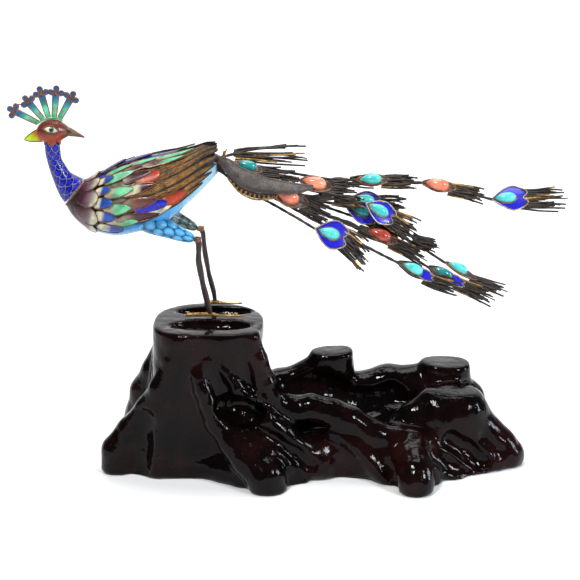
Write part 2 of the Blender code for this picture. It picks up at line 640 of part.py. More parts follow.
# Roots as (x, y, z, radius) along their middles
ROOTS = [
    [(-50.5, -18.5, 60, 2.6), (-54, -18, 50, 3.1), (-59.5, -16.3, 39, 3.9), (-64.5, -13, 29, 5.1),
     (-71.5, -9.5, 18, 6.2), (-77.8, -8.2, 8.5, 6.7), (-78.6, -8.2, -4, 7)],
    [(-58, 4, 50, 5), (-62, 6, 38, 6.5), (-67, 8, 28, 6.8), (-69.5, 10, 18, 6.5), (-71, 12, 8, 8), (-71, 13, -3, 8)],
    [(-57, -13.2, 30, 5), (-60, -13.2, 18, 5.6), (-61, -13, 8, 5.6), (-61, -12.6, -3, 5.6)],
    [(-41, -19.8, 51, 2.4), (-44, -20.4, 45.5, 3.0), (-42.5, -20.8, 40, 3.4), (-39.5, -20.8, 33, 3.7),
     (-37, -20.6, 25.5, 4.4), (-31, -21, 18, 5.6), (-24, -24, 11, 6.8), (-18, -27, 6, 7.6), (-16, -27.2, -4, 7.8)],
    [(-40, -19.8, 51.5, 2.2), (-35, -20.2, 46, 2.6), (-29.8, -19.8, 40, 3.0), (-24, -18.8, 33.5, 3.7),
     (-18.5, -17.8, 27.5, 4.3), (-12, -17.3, 20.5, 4.9), (-5.5, -17, 13.5, 5.4), (1.5, -16, 6, 5.8)],
    [(-25, -20.5, 20.5, 3.4), (-16, -21.5, 14.5, 4.2), (-9, -20.5, 8, 4.8), (-5, -19.5, -1, 5)],
    [(-52, -11.5, 5, 6.8), (-42, -11, 5, 7.2), (-33, -15.5, 4, 7.4), (-26, -20, 3, 7.5)],
    [(-23, -17, 60, 3.4), (-20.8, -16.5, 51, 3.8), (-18, -15, 40, 4.8), (-14, -11.5, 30.5, 5),
     (-6, -10.5, 27, 5.5), (1, -11, 28.6, 5.4), (8, -12, 27, 5.6), (16, -13, 23.6, 5.7),
     (26, -14, 17.6, 5.5), (35, -13.5, 15.5, 5.4), (43, -13, 13.5, 5.2), (51, -12.5, 8.5, 5)],
    [(-9, -14, 9, 9.5), (4, -9, 6, 11), (18, -6.5, 5, 11), (28, -9, 4.5, 10.5), (36, -13, 4, 10),
     (43, -12, 5, 10.5), (55, -8.5, 4.5, 10.5), (67, -6, 3, 9.5)],
    [(24, -12, 8, 8), (32, -17, 5, 7.5), (36, -22, 3, 6)],
    [(10, -14.5, 18.5, 3.4), (18, -16.3, 15, 4.0), (26, -18, 9.5, 4.4), (31, -20, 3, 4.4)],
    [(34, -13.5, 14, 5.4), (36.8, -19, 9.5, 5.6), (39, -25.5, 6, 6)],
    [(41.5, -14, 13.5, 6.2), (42, -21, 10.5, 6.3), (42, -27, 7.2, 6.6), (42, -29.2, 4, 6.8), (42, -29, -4, 7)],
    [(47, -13.5, 11.5, 5.2), (48, -18, 6.5, 5.2), (48, -21, -2, 5)],
    [(48, -12, 11, 5.5), (53, -13, 5, 6), (59, -13.5, 1, 6.5)],
    [(54, -11.5, 16, 3.2), (62, -10, 12, 3.6), (70, -7.5, 7.5, 4.6), (75, -5.5, 2, 5.4)],
    [(-20, 9, 26, 9), (-12, 12, 27, 8.5), (-4, 14, 27, 8), (4, 15, 28, 8)],
    [(-8, 13, 29, 6.5), (-1, 13.5, 32.5, 6.2), (5, 13.5, 36.5, 5.6)],
    [(16, 15, 24, 8), (24, 16, 25, 8), (33, 17, 27.8, 8.2), (42, 17, 27, 8.2), (50, 18, 26.5, 9)],
    [(-15, 12, 10, 14), (5, 14, 9, 15), (25, 15, 9, 15), (45, 16, 9, 15), (60, 13, 8, 13)],
    [(60, 19, 19, 8.5), (66, 20, 20, 7.6), (67.5, 20.5, 16, 7.2)],
    [(-40, 14, 20, 10), (-38, 24, 8, 9), (-37, 26.5, 2, 8)],
    [(-10, 20, 10, 9), (-6, 26, 4, 8)],
    [(25, 22, 8, 9), (28, 26.5, 3, 7)],
    [(52, 24, 8, 9), (56, 27, 3, 7)],
    [(-60, 14, 12, 9), (-64, 20, 4, 8)],
]
# The mound at the tail end, cut flat on top
MOUND = [
    [(47, -1, 17, 10), (54, -1, 21, 11.8), (61, 0, 21.8, 11.8), (69, 0, 13, 9.5),
     (76.6, -1, 7, 8.5), (81.2, -1, 3.5, 7.7)],
    [(34, -6, 16, 5), (42, -4.5, 22.5, 5), (50, -3, 27, 5.5), (60, -2, 27.5, 5.5)],
]
# Hollows carved between the roots, as (x, y, z, radius) along their middles
HOLLOWS = [
    [(-33.5, -22.4, 32.5, 4.0), (-28, -21.4, 31, 5.0), (-22.5, -21, 29.3, 3.9)],
    [(-38, -24.6, 46.5, 3.0), (-35, -24.4, 41, 3.4)],
    [(-50, -25.8, 51, 4.8), (-51, -25.2, 38, 6.2), (-50, -26, 25, 7.2), (-47, -27, 15, 7.6)],
    [(-29, -25.5, 48, 4), (-25.5, -24.5, 41, 3.6)],
    [(-67, -20, 26, 5), (-70, -19, 14, 6), (-71, -20, 4, 7)],
    [(-22, -25, 25, 2.0), (-14, -23.7, 19.5, 2.2), (-6, -22.9, 13.5, 2.2), (1, -22, 7, 2.4)],
    [(-3, -26, 12, 3.4), (-3, -27, 2, 4.5)],
    [(-9, 1.5, 33.5, 6), (2, 2, 33, 6), (12, 1.5, 29, 7), (24, 2, 26, 7.5), (34, 5, 28, 6)],
    [(6, -21.5, 21, 3.6), (13, -22, 9, 4.2), (13, -22, 0, 5.5)],
    [(19.5, -22.2, 18, 2.0), (26.5, -23.2, 13, 2.3), (31.2, -24.8, 8, 2.5), (33.2, -26.5, 2.5, 2.8)],
    [(52, -21, 13, 4.6), (58, -20.5, 7, 4), (66, -19.5, 3, 5)],
    [(57, -14.5, 15.5, 3.6), (64, -13.5, 10.5, 3.8), (70, -13.5, 5, 4)],
    [(72, -12, 15, 3.5), (78, -12, 9, 3.5)],
    [(66, 9, 27, 4.6), (74, 9, 16, 5), (82, 10, 9, 5)],
]
# Lens-shaped pockets in the stump's top: centre (x, y), half length and half width
POCKETS = [((-39, 8.9), 14, 5.0), ((-39.5, -8.8), 15, 5.8)]
POCKET_SIDES = 14
WOOD_SIDES = 14
STUB_CUTS = [((9.5, 14), 44.0, -3.0), ((57, 18), 37.8, 2.0), ((59, -5.5), 32.4, 5.0)]


def capsule(bm, a, b):
    """A tapered rod with round ends between two (x, y, z, radius)."""
    start, end = in_wood(*a[:3]), in_wood(*b[:3])
    run = end - start
    turn = run.to_track_quat('Z', 'Y').to_matrix().to_4x4()
    bmesh.ops.create_cone(bm, cap_ends=True, segments=WOOD_SIDES, radius1=a[3] * WOOD_SHARE,
                          radius2=b[3] * WOOD_SHARE, depth=run.length,
                          matrix=Matrix.Translation((start + end) / 2) @ turn)
    for place, radius in ((start, a[3]), (end, b[3])):
        bmesh.ops.create_icosphere(bm, subdivisions=2, radius=radius * WOOD_SHARE,
                                   matrix=Matrix.Translation(place))


def rounded(value, squareness):
    """A sine or cosine bent so that an oval made of it turns squarer above 2."""
    return abs(value) ** (2 / squareness) * (1 if value > 0 else -1)


def level_rings(bm, sizes, front=2.0, back=2.0):
    rings = []
    for x, y, z, half_x, half_y in sizes:
        ring = []
        for i in range(36):
            turn = 2 * pi * i / 36
            squareness = front if sin(turn) < 0 else back
            ring.append(in_wood(x + half_x * rounded(cos(turn), squareness),
                                y + half_y * rounded(sin(turn), squareness), z))
        rings.append(ring)
    loft(bm, rings)


def chain(bm, runs):
    for run in runs:
        for a, b in zip(run, run[1:]):
            capsule(bm, a, b)


def fuse(piece):
    """Turn overlapping forms into one closed surface."""
    grown = piece.modifiers.new("fuse", 'REMESH')
    grown.mode = 'VOXEL'
    grown.voxel_size = WOOD_VOXEL
    grown.use_smooth_shade = True


def box_cutter(name, low, high, tilt, look):
    """A box between two corners, tipped about its lower face's middle."""
    low, high = Vector(low), Vector(high)
    bm = bmesh.new()
    bmesh.ops.create_cube(bm, size=1.0)
    bmesh.ops.scale(bm, vec=high - low, verts=bm.verts)
    bmesh.ops.translate(bm, vec=(0, 0, (high.z - low.z) / 2), verts=bm.verts)
    bmesh.ops.rotate(bm, cent=(0, 0, 0), matrix=Matrix.Rotation(radians(tilt), 3, 'Y'), verts=bm.verts)
    bmesh.ops.translate(bm, vec=((low.x + high.x) / 2, (low.y + high.y) / 2, low.z), verts=bm.verts)
    return make_cutter(add_object(name, bm, look, smooth=False))


def stand(look):
    bm = bmesh.new()
    level_rings(bm, TRUNK, *TRUNK_SQUARENESS)
    for column in STUBS:
        level_rings(bm, [(x, y, z, r, r * STUB_DEPTH) for x, y, z, r in column])
    chain(bm, ROOTS + MOUND)
    wood = add_object("stand", bm, look, sharp=50)
    bm = bmesh.new()
    chain(bm, HOLLOWS)
    hollows = make_cutter(add_object("hollows", bm, look))
    fuse(hollows)
    fuse(wood)
    subtract(wood, hollows)
    fuse(wood)
    smooth = wood.modifiers.new("polish", 'SMOOTH')
    smooth.factor = 0.5
    smooth.iterations = 5
    thin = wood.modifiers.new("thin", 'DECIMATE')
    thin.ratio = WOOD_FACES_KEPT

    far = 2 * STUMP_HEIGHT
    trunk_x, trunk_y, _, trunk_half_x, trunk_half_y = (v * WOOD_SHARE for v in TRUNK[-1])
    reach_x, reach_y = trunk_half_x * 1.3, trunk_half_y * 1.3
    subtract(wood, box_cutter("ground", (-far, -far, -far), (far, far, 0), 0, look))
    subtract(wood, box_cutter("stump_top", (trunk_x - reach_x, trunk_y - reach_y, STUMP_HEIGHT),
                              (trunk_x + reach_x, trunk_y + reach_y, far), 0, look))
    for i, ((x, y), height, tilt) in enumerate(STUB_CUTS):
        middle = in_wood(x, y, height)
        reach = Vector((14, 14, 0)) * WOOD_SHARE
        top = Vector((middle.x, middle.y, 0)) + reach
        subtract(wood, box_cutter("stub_top_%d" % i, middle - reach, (top.x, top.y, far), tilt, look))

    bm = bmesh.new()
    for (x, y), half_length, half_width in POCKETS:
        rings = []
        for height, share in ((STUMP_HEIGHT - POCKET_DEPTH, 0.7), (STUMP_HEIGHT + POCKET_DEPTH, 1.3)):
            ring = []
            for i in range(POCKET_SIDES):
                turn = 2 * pi * i / POCKET_SIDES
                lens_x = x + half_length * share * cos(turn)
                lens_y = y + half_width * share * sin(turn) * abs(sin(turn)) ** 0.25
                ring.append((lens_x * WOOD_SHARE, lens_y * WOOD_SHARE, height))
            rings.append(ring)
        loft(bm, rings)
    subtract(wood, make_cutter(add_object("pockets", bm, look, smooth=False)))
    return wood


def build():
    clear_scene()
    wood = finish("lacquered_wood", (0.022, 0.008, 0.007), 0.12)
    blue = finish("blue_enamel", (0.012, 0.016, 0.42), 0.15, 0.2)
    sky = finish("sky_enamel", (0.07, 0.35, 0.72), 0.2, 0.1)
    plumage = finish("breast_enamel", (0.12, 0.05, 0.06), 0.25, 0.1)
    red = finish("red_enamel", (0.24, 0.035, 0.015), 0.22, 0.1)
    green = finish("green_enamel", (0.10, 0.55, 0.40), 0.2, 0.1)
    lime = finish("lime_enamel", (0.42, 0.60, 0.02), 0.2, 0.1)
    filigree = finish("gilt_filigree", (0.28, 0.13, 0.035), 0.4, 0.8)
    horn = finish("beak_enamel", (0.20, 0.11, 0.05), 0.35, 0.3)
    wire = finish("dark_wire", (0.045, 0.036, 0.028), 0.45, 0.8)
    gilt = finish("gilt_wire", (0.55, 0.28, 0.08), 0.35, 1.0)
    grey = finish("grey_metal", (0.085, 0.075, 0.068), 0.5, 0.7)
    turquoise = finish("turquoise", (0.06, 0.55, 0.50), 0.2)
    coral = finish("coral", (0.70, 0.16, 0.08), 0.25)

    stand(wood)
    oval_piece("body", BODY_SECTIONS, BODY_SIDES, plumage)
    oval_piece("neck", NECK_SECTIONS, 14, blue)
    oval_piece("head", HEAD_SECTIONS, 14, red, floor=HEAD_SEAT)
    oval_piece("beak", BEAK_SECTIONS, 8, horn)
    sheet_piece("nape_lappet", LAPPET_OUTLINE, LAPPET_SHEET, lime)
    sheet_piece("crest", crest_outline(), CREST_SHEET, green)
    wing("wing_left", 1, filigree)
    wing("wing_right", -1, filigree)
    legs_and_feet(sky, wire, gilt)
    shield_plate(grey)
    undertail_scroll(filigree)
    tail(wire, {"turquoise": (TURQUOISE, turquoise), "coral": (CORAL, coral)})


build()
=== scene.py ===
"""Peacock figurine of enamelled silver on a carved and lacquered root, in a plain studio."""

from math import cos, pi, radians, sin

import bmesh
import bpy
import numpy as np
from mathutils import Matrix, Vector


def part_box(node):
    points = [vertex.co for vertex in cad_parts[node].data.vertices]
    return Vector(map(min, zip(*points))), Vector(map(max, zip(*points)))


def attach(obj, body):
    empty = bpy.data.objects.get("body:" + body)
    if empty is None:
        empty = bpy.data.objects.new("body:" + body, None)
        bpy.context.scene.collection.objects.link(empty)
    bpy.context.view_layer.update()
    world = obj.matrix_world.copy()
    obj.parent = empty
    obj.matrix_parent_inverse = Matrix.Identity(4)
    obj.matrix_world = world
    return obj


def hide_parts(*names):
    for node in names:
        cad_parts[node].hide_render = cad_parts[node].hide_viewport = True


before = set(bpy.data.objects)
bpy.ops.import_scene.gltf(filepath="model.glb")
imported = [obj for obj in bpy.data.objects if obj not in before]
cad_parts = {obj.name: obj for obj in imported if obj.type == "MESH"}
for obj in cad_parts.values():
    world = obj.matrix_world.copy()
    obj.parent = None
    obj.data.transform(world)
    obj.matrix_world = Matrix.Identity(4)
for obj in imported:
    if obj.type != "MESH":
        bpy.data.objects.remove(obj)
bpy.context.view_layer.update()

FEET = np.array([-0.040, 0.008, 0.06335])   # where the bird stands on the stump
SHARE = 0.001                               # a sixty-fourth of the bird's body


def on_bird(points):
    """Places on the bird, in shares from its feet, as places in the frame."""
    return FEET + SHARE * np.asarray(points, float)


# Finishes

class Channel:
    """A shader socket on which plain arithmetic adds Math nodes."""

    def __init__(self, finish, socket):
        self.finish, self.socket = finish, socket

    def __add__(self, other):
        return self.finish.math('ADD', self, other)

    __radd__ = __add__

    def __mul__(self, other):
        return self.finish.math('MULTIPLY', self, other)

    __rmul__ = __mul__

    def __sub__(self, other):
        return self.finish.math('SUBTRACT', self, other)

    def __rsub__(self, other):
        return self.finish.math('SUBTRACT', other, self)

    def __truediv__(self, other):
        return self.finish.math('DIVIDE', self, other)

    def __pow__(self, other):
        return self.finish.math('POWER', self, other)

    def __abs__(self):
        return self.finish.math('ABSOLUTE', self)


class Finish:
    """One material, written as expressions on its channels. Its coat is (weight, roughness),
    and mirror is how strongly the body below the coat reflects."""

    def __init__(self, name, coat=(0, 0.03), mirror=0.5, roughness=0.3):
        self.look = bpy.data.materials.new(name)
        self.look.use_nodes = True
        self.shader = self.look.node_tree.nodes["Principled BSDF"]
        self.shader.inputs["Roughness"].default_value = roughness
        self.shader.inputs["Specular IOR Level"].default_value = mirror
        self.shader.inputs["Coat Weight"].default_value = coat[0]
        self.shader.inputs["Coat Roughness"].default_value = coat[1]
        self.place = self.node("TexCoord", output="Object")

    def plug(self, socket, value):
        if isinstance(value, Channel):
            self.look.node_tree.links.new(value.socket, socket)
        elif value is not None:
            socket.default_value = value

    def node(self, kind, settings=None, sockets=None, output=0):
        new = self.look.node_tree.nodes.new("ShaderNode" + kind)
        for key, value in (settings or {}).items():
            setattr(new, key, value)
        for key, value in (sockets or {}).items():
            self.plug(new.inputs[key], value)
        return Channel(self, new.outputs[output])

    def math(self, operation, *values):
        return self.node("Math", {"operation": operation}, dict(enumerate(values)))

    def mix(self, factor, first, second):
        """Colours mixed by factor. Sockets 6 and 7 of a Mix node take its colours."""
        settings = {"data_type": 'RGBA'}
        return self.node("Mix", settings, {0: factor, 6: self.full(first), 7: self.full(second)}, 2)

    def full(self, colour):
        return colour if isinstance(colour, Channel) else (*colour, 1)

    def shade(self, colour, amount):
        """A colour multiplied by a channel."""
        return self.node("VectorMath", {"operation": 'SCALE'}, {0: colour, "Scale": amount})

    def step(self, value, low, high):
        """0 below low and 1 above high, smooth between."""
        return self.node("MapRange", {"interpolation_type": 'SMOOTHSTEP'}, {0: value, 1: low, 2: high})

    def noise(self, scale, detail=2.0, stretch=None):
        source = self.place
        if stretch:
            source = self.node("Mapping", {}, {"Vector": source, "Scale": stretch})
        return self.node("TexNoise", {}, {"Vector": source, "Scale": scale, "Detail": detail})

    def cracks(self, scale):
        """How far a place is from the borders of uneven cells."""
        feature = {"feature": 'DISTANCE_TO_EDGE'}
        return self.node("TexVoronoi", feature, {"Vector": self.place, "Scale": scale})

    def tint(self):
        return self.node("Attribute", {"attribute_name": "tint"}, output="Color")

    def tint_strength(self):
        return self.node("Attribute", {"attribute_name": "tint"}, output="Alpha")

    def strip_place(self):
        """u round or across a piece and v along it."""
        u = self.node("SeparateXYZ", sockets={0: self.node("UVMap", {"uv_map": "strip"})})
        return u, Channel(self, u.socket.node.outputs[1])

    def relief(self, height, distance=0.0002, strength=0.6):
        bump = self.node("Bump", {}, {"Height": height, "Distance": distance, "Strength": strength})
        self.plug(self.shader.inputs["Normal"], bump)

    def wear(self, **channels):
        """Plugs channels into the shader's own sockets, named with _ for a space."""
        for name, value in channels.items():
            self.plug(self.shader.inputs[name.replace("_", " ")], value)

    def fish_scales(self):
        """Rows of half discs that hang towards +v, as (wire, fullness).

        In each row the distance to the disc's centre is 0.5 on its wire, and each second
        row is moved half a scale sideways.
        """
        u, v = self.strip_place()
        row = self.math('FLOOR', v * 2)
        down = (v * 2 - row) / 2
        across = self.math('FRACT', u + self.math('FLOORED_MODULO', row, 2) * 0.5) - 0.5
        away = (across * across + down * down) ** 0.5
        wire = 1 - self.step(abs(away - 0.48), 0.012, 0.055)
        full = 1 - self.step(away, 0.0, 0.5)
        return wire, full

    def bubbles(self):
        """Discs packed in sixes: the nearer of two grids of cells of 1 by root 3, the second
        moved half a cell both ways, as (disc, how near its middle)."""
        root_three = 1.732
        u, v = self.strip_place()
        v = v / root_three
        nearest = None
        for move in (0.0, 0.5):
            across = self.math('FRACT', u + move) - 0.5
            along = (self.math('FRACT', v + move) - 0.5) * root_three
            away = (across * across + along * along) ** 0.5
            nearest = away if nearest is None else self.math('MINIMUM', nearest, away)
        return 1 - self.step(nearest, 0.43, 0.50), 1 - self.step(nearest, 0.0, 0.52)


def enamel_finish():
    """Glass enamel in the piece's own tint, clouded, pitted and worn dark where the tint asks."""
    f = Finish("glossy_enamel", coat=(0.10, 0.05), mirror=0.32)
    cloud = f.noise(420, 3)
    fine = f.noise(1900, 2)
    worn = f.step(f.noise(300, 4), 0.44, 0.60) * f.tint_strength()
    colour = f.shade(f.tint(), 0.52 + cloud * 0.66 + fine * 0.12)
    colour = f.mix(worn, colour, (0.018, 0.012, 0.010))
    f.wear(Base_Color=colour, Roughness=0.14 + fine * 0.22 + worn * 0.25)
    f.relief(cloud * 0.7 + fine * 0.3, 0.00018, 0.5)
    return f.look


def scale_finish(name, body, deep, wire_colour):
    """Enamel cells like fish scales between raised silver wires."""
    f = Finish(name, coat=(0.12, 0.08), mirror=0.35)
    wire, full = f.fish_scales()
    cloud = f.noise(500, 3)
    cell = f.mix(f.step(full * 0.8 + cloud * 0.5, 0.2, 0.95), deep, body)
    cell = f.shade(cell, 0.7 + cloud * 0.6)
    f.wear(Base_Color=f.mix(wire * 0.85, cell, wire_colour), Metallic=wire * 0.5,
           Roughness=0.16 + cloud * 0.15 + wire * 0.15)
    f.relief(wire * 0.8 + full * 0.35, 0.0004, 0.7)
    return f.look


def bubble_finish(name, body, deep, outline):
    """Round enamel cells side by side, each with a dark outline."""
    f = Finish(name, coat=(0.1, 0.08), mirror=0.35)
    disc, near = f.bubbles()
    cloud = f.noise(500, 3)
    cell = f.shade(f.mix(f.step(near * 0.7 + cloud * 0.6, 0.2, 0.9), deep, body), 0.6 + cloud * 0.7)
    f.wear(Base_Color=f.mix(disc, outline, cell), Roughness=0.2 + cloud * 0.2)
    f.relief(near, 0.0006, 0.8)
    return f.look


def metal_finish(name, light, dark, roughness=0.42, metallic=0.85, grain=900):
    """Worn metal: tarnish in the hollows of a noise, lighter where it is rubbed."""
    f = Finish(name)
    patina = f.noise(260, 4)
    fine = f.noise(grain, 3)
    rubbed = f.step(patina * 0.7 + fine * 0.5, 0.45, 0.75)
    f.wear(Base_Color=f.mix(rubbed, dark, light), Metallic=0.45 * metallic + rubbed * (0.55 * metallic),
           Roughness=roughness + 0.22 - rubbed * 0.25)
    f.relief(fine, 0.00015, 0.5)
    return f.look


def flight_finish():
    """Gilt flight feathers: slanted barbs either side of a shaft, with dark oxide between, and painted shade
    darkening their edges.
    """
    f = Finish("gilt_flight")
    u, v = f.strip_place()
    middle = abs(u - 0.5) * 2
    barb = f.math('SINE', (v * 1.3 + middle * 0.5) * 62)
    patch = f.noise(330, 4)
    fine = f.noise(1500, 2)
    dark = f.step(patch + barb * 0.14, 0.40, 0.58)
    sooty = f.step(f.noise(190, 4), 0.50, 0.64)
    edge = f.step(middle, 0.50, 0.92)
    shaft = 1 - f.step(middle, 0.03, 0.14)
    colour = f.mix(dark, (0.27, 0.118, 0.020), (0.095, 0.040, 0.010))
    colour = f.mix(sooty * 0.7, colour, (0.035, 0.020, 0.012))
    colour = f.mix(f.step(fine, 0.46, 0.64) * 0.30, colour, (0.42, 0.22, 0.05))
    # Near black towards both edges: painted shade where the feathers overlap, running into their dark rim
    # wires
    colour = f.mix(edge * 0.93, colour, (0.022, 0.011, 0.007))
    f.wear(Base_Color=colour, Metallic=0.35 - edge * 0.2, Roughness=0.42 + dark * 0.2)
    f.relief(barb * 0.25 + shaft * 0.8 + fine * 0.4 - edge, 0.0003, 0.9)
    return f.look


def stone_finish(name, light, dark, vein, veins):
    """Polished stone, clouded with a few veins and matrix specks."""
    f = Finish(name, coat=(0.25, 0.05))
    cloud = f.noise(210, 4)
    crack = 1 - f.step(f.cracks(150), 0.0, 0.035)
    speck = f.step(f.noise(900, 2), 0.66, 0.74)
    colour = f.mix(f.step(cloud, 0.3, 0.7), dark, light)
    colour = f.mix((crack * cloud + speck * 0.4) * veins, colour, vein)
    f.wear(Base_Color=colour, Roughness=0.13 + cloud * 0.16)
    f.relief(cloud, 0.0001, 0.3)
    return f.look


def lacquer_finish():
    """Dark wood under thick lacquer: red grain glows through where the coat is thin."""
    f = Finish("lacquered_wood", coat=(0.02, 0.03), mirror=0.12)
    grain = f.noise(160, 5, (1, 1, 0.16))
    patch = f.noise(38, 3)
    pits = f.step(f.noise(700, 3), 0.62, 0.78)
    warm = f.step(grain * 0.5 + patch * 0.7, 0.52, 0.86)
    colour = f.mix(warm, (0.0016, 0.0009, 0.0010), (0.0115, 0.0026, 0.0024))
    colour = f.mix(pits * 0.4, colour, (0.035, 0.014, 0.010))
    f.wear(Base_Color=colour, Roughness=0.05 + patch * 0.10 + pits * 0.25)
    f.relief(f.noise(230, 3) * 0.8 + f.noise(75, 2) * 1.6 + grain * 0.5, 0.0011, 0.45)
    return f.look


def studio_finish(name, colour):
    """Plain matt paper, faintly uneven."""
    f = Finish(name, roughness=0.75)
    pulp = f.noise(60, 3)
    f.wear(Base_Color=f.mix(pulp, colour, tuple(c * 0.965 for c in colour)))
    f.relief(pulp, 0.0012, 0.12)
    return f.look


ENAMEL = enamel_finish()
NECK_SCALES = scale_finish("neck_enamel", (0.008, 0.011, 0.42), (0.003, 0.004, 0.13), (0.20, 0.22, 0.40))
THIGH_SCALES = bubble_finish("sky_enamel", (0.10, 0.42, 0.74), (0.035, 0.24, 0.52), (0.012, 0.06, 0.11))
# The far thigh's green scales, darkened with painted shade for the shade under the body
SHADE_SCALES = bubble_finish("shaded_grey_green_enamel", (0.15, 0.24, 0.21), (0.05, 0.09, 0.09),
                             (0.012, 0.018, 0.018))
GILT = metal_finish("gilt_wire", (0.58, 0.34, 0.09), (0.13, 0.06, 0.02), 0.34)
COPPER = metal_finish("copper_wire", (0.34, 0.16, 0.085), (0.075, 0.032, 0.02), 0.4)
SILVER = metal_finish("silver_rim", (0.52, 0.45, 0.37), (0.16, 0.11, 0.08), 0.3)
WIRE = metal_finish("dark_wire", (0.046, 0.034, 0.025), (0.009, 0.006, 0.005), 0.44, 0.55)
LEG_WIRE = metal_finish("leg_wire", (0.048, 0.028, 0.022), (0.014, 0.009, 0.008), 0.32, 0.45)
SHEET = metal_finish("grey_sheet", (0.115, 0.098, 0.090), (0.050, 0.040, 0.037), 0.50, 0.4, grain=1400)
FLIGHT = flight_finish()
TURQUOISE = stone_finish("turquoise", (0.10, 0.62, 0.56), (0.035, 0.42, 0.42), (0.02, 0.10, 0.09), 0.5)
# The same turquoise painted darker: painted shade for the stones that lie in shadow
SHADED_TURQUOISE = stone_finish("shaded_turquoise", (0.022, 0.26, 0.25), (0.010, 0.13, 0.14),
                              (0.01, 0.04, 0.04), 0.5)
CORAL = stone_finish("coral", (0.86, 0.30, 0.18), (0.66, 0.14, 0.075), (0.90, 0.55, 0.42), 0.4)
DEEP_CORAL = stone_finish("deep_coral", (0.50, 0.075, 0.035), (0.26, 0.030, 0.018), (0.60, 0.20, 0.12), 0.3)
LACQUER = lacquer_finish()


# Pieces

SHARP_EDGE = radians(50)
# Radii of the wires round cells, plates and stones
FINE_WIRE, RIM_WIRE, STOUT_WIRE = 0.00026, 0.00030, 0.00032


class Piece:
    """A mesh gathered from grids of points, each with its own finish and tint, that stands
    for one node."""

    def __init__(self, name, node):
        self.name, self.node = name, node
        self.points, self.tints, self.looks = [], [], []
        self.faces, self.strips, self.face_looks = [], [], []
        self.count = 0

    def grid(self, points, look, tint=(1, 1, 1, 0), loop=False, strip=(1, 1)):
        """Skins points[i, j], whose rows are rings. A loop joins the last row to the first,
        and without it both end rings get a fan to their middle."""
        rows, columns = points.shape[:2]
        tints = np.ones((rows, columns, 4))
        tint = np.asarray(tint, float)
        tints[..., :tint.shape[-1]] = tint
        if tint.shape[-1] == 3:
            tints[..., 3] = 0
        i, j = np.meshgrid(np.arange(rows - (not loop)), np.arange(columns), indexing="ij")
        i, j = i.ravel(), j.ravel()
        corner_i = np.stack([i, i + 1, i + 1, i], 1)
        corner_j = np.stack([j, j, j + 1, j + 1], 1)
        faces = (corner_i % rows) * columns + corner_j % columns
        strips = np.stack([corner_j * strip[0] / columns, corner_i * strip[1] / rows], -1)
        self._store(points.reshape(-1, 3), tints.reshape(-1, 4), faces, strips, look)
        if not loop:
            for row, pole_at in ((0, 0.0), (rows - 1, 1.0)):
                base = self.count - rows * columns - (1 if row else 0)
                j = np.arange(columns)
                pole = np.full(columns, self.count)
                fan = np.stack([base + row * columns + j, base + row * columns + (j + 1) % columns, pole], 1)
                strips = np.stack([np.stack([j, j + 1, j + 0.5], 1) * strip[0] / columns,
                                   np.full((columns, 3), pole_at * strip[1])], -1)
                middle, tint = points[row].mean(0)[None], tints[row].mean(0)[None]
                self._store(middle, tint, fan - self.count, strips, look)

    def wire(self, path, radius, look, facing=(0, -1, 0), sides=6, loop=False, **twist):
        """A wire along a path, or a closed one round a loop. A twist gives its strands and pitch."""
        self.grid(rope(path, radius, facing, sides, loop=loop, **twist), look, loop=loop)

    def _store(self, points, tints, faces, strips, look):
        if look not in self.looks:
            self.looks.append(look)
        self.points.append(points)
        self.tints.append(tints)
        self.faces.append(faces + self.count)
        self.strips.append(strips.reshape(-1, 2))
        self.face_looks.append(np.full(len(faces), self.looks.index(look)))
        self.count += len(points)

    def done(self):
        """Makes the object: faces turned outward, edges sharper than SHARP_EDGE left crisp."""
        mesh = bpy.data.meshes.new(self.name)
        faces = [face for block in self.faces for face in block.tolist()]
        mesh.from_pydata(np.concatenate(self.points).tolist(), [], faces)
        mesh.polygons.foreach_set("material_index", np.concatenate(self.face_looks).astype(np.int32))
        strip = mesh.uv_layers.new(name="strip")
        strip.data.foreach_set("uv", np.concatenate(self.strips).astype(np.float32).ravel())
        tint = mesh.color_attributes.new("tint", 'FLOAT_COLOR', 'POINT')
        tint.data.foreach_set("color", np.concatenate(self.tints).astype(np.float32).ravel())
        for look in self.looks:
            mesh.materials.append(look)
        gathered = bmesh.new()
        gathered.from_mesh(mesh)
        bmesh.ops.recalc_face_normals(gathered, faces=gathered.faces)
        gathered.to_mesh(mesh)
        gathered.free()
        mesh.shade_smooth()
        mesh.set_sharp_from_angle(angle=SHARP_EDGE)
        piece = bpy.data.objects.new(self.name, mesh)
        bpy.context.collection.objects.link(piece)
        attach(piece, "root")
        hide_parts(self.node)


def unit(vectors):
    vectors = np.asarray(vectors, float)
    return vectors / np.linalg.norm(vectors, axis=-1, keepdims=True)


def circle(count):
    """A row of even angles all the way round."""
    return np.linspace(0, 2 * pi, count, endpoint=False)[None]


def ease(value, low, high):
    """0 below low and 1 above high, smooth between."""
    t = np.clip((value - low) / (high - low), 0, 1)
    return t * t * (3 - 2 * t)


def blend(amount, first, second):
    """Tints mixed by an array of shares."""
    amount = np.asarray(amount)[..., None]
    return np.asarray(first) * (1 - amount) + np.asarray(second) * amount


def with_wear(tint, wear):
    """Tints with how worn they are as their fourth channel."""
    return np.concatenate([tint, np.broadcast_to(wear, tint.shape[:-1])[..., None]], -1)


def through(points, count, soften=0):
    """Even steps along the straight runs between points, their corners eased by averaging."""
    points = np.asarray(points, float)
    runs = np.linalg.norm(np.diff(points[:, :3], axis=0), axis=1)
    at = np.concatenate([[0], np.cumsum(runs)])
    steps = np.linspace(0, at[-1], count)
    path = np.stack([np.interp(steps, at, column) for column in points.T], 1)
    for _ in range(soften):
        path[1:-1] = (path[:-2] + 2 * path[1:-1] + path[2:]) / 4
    return path


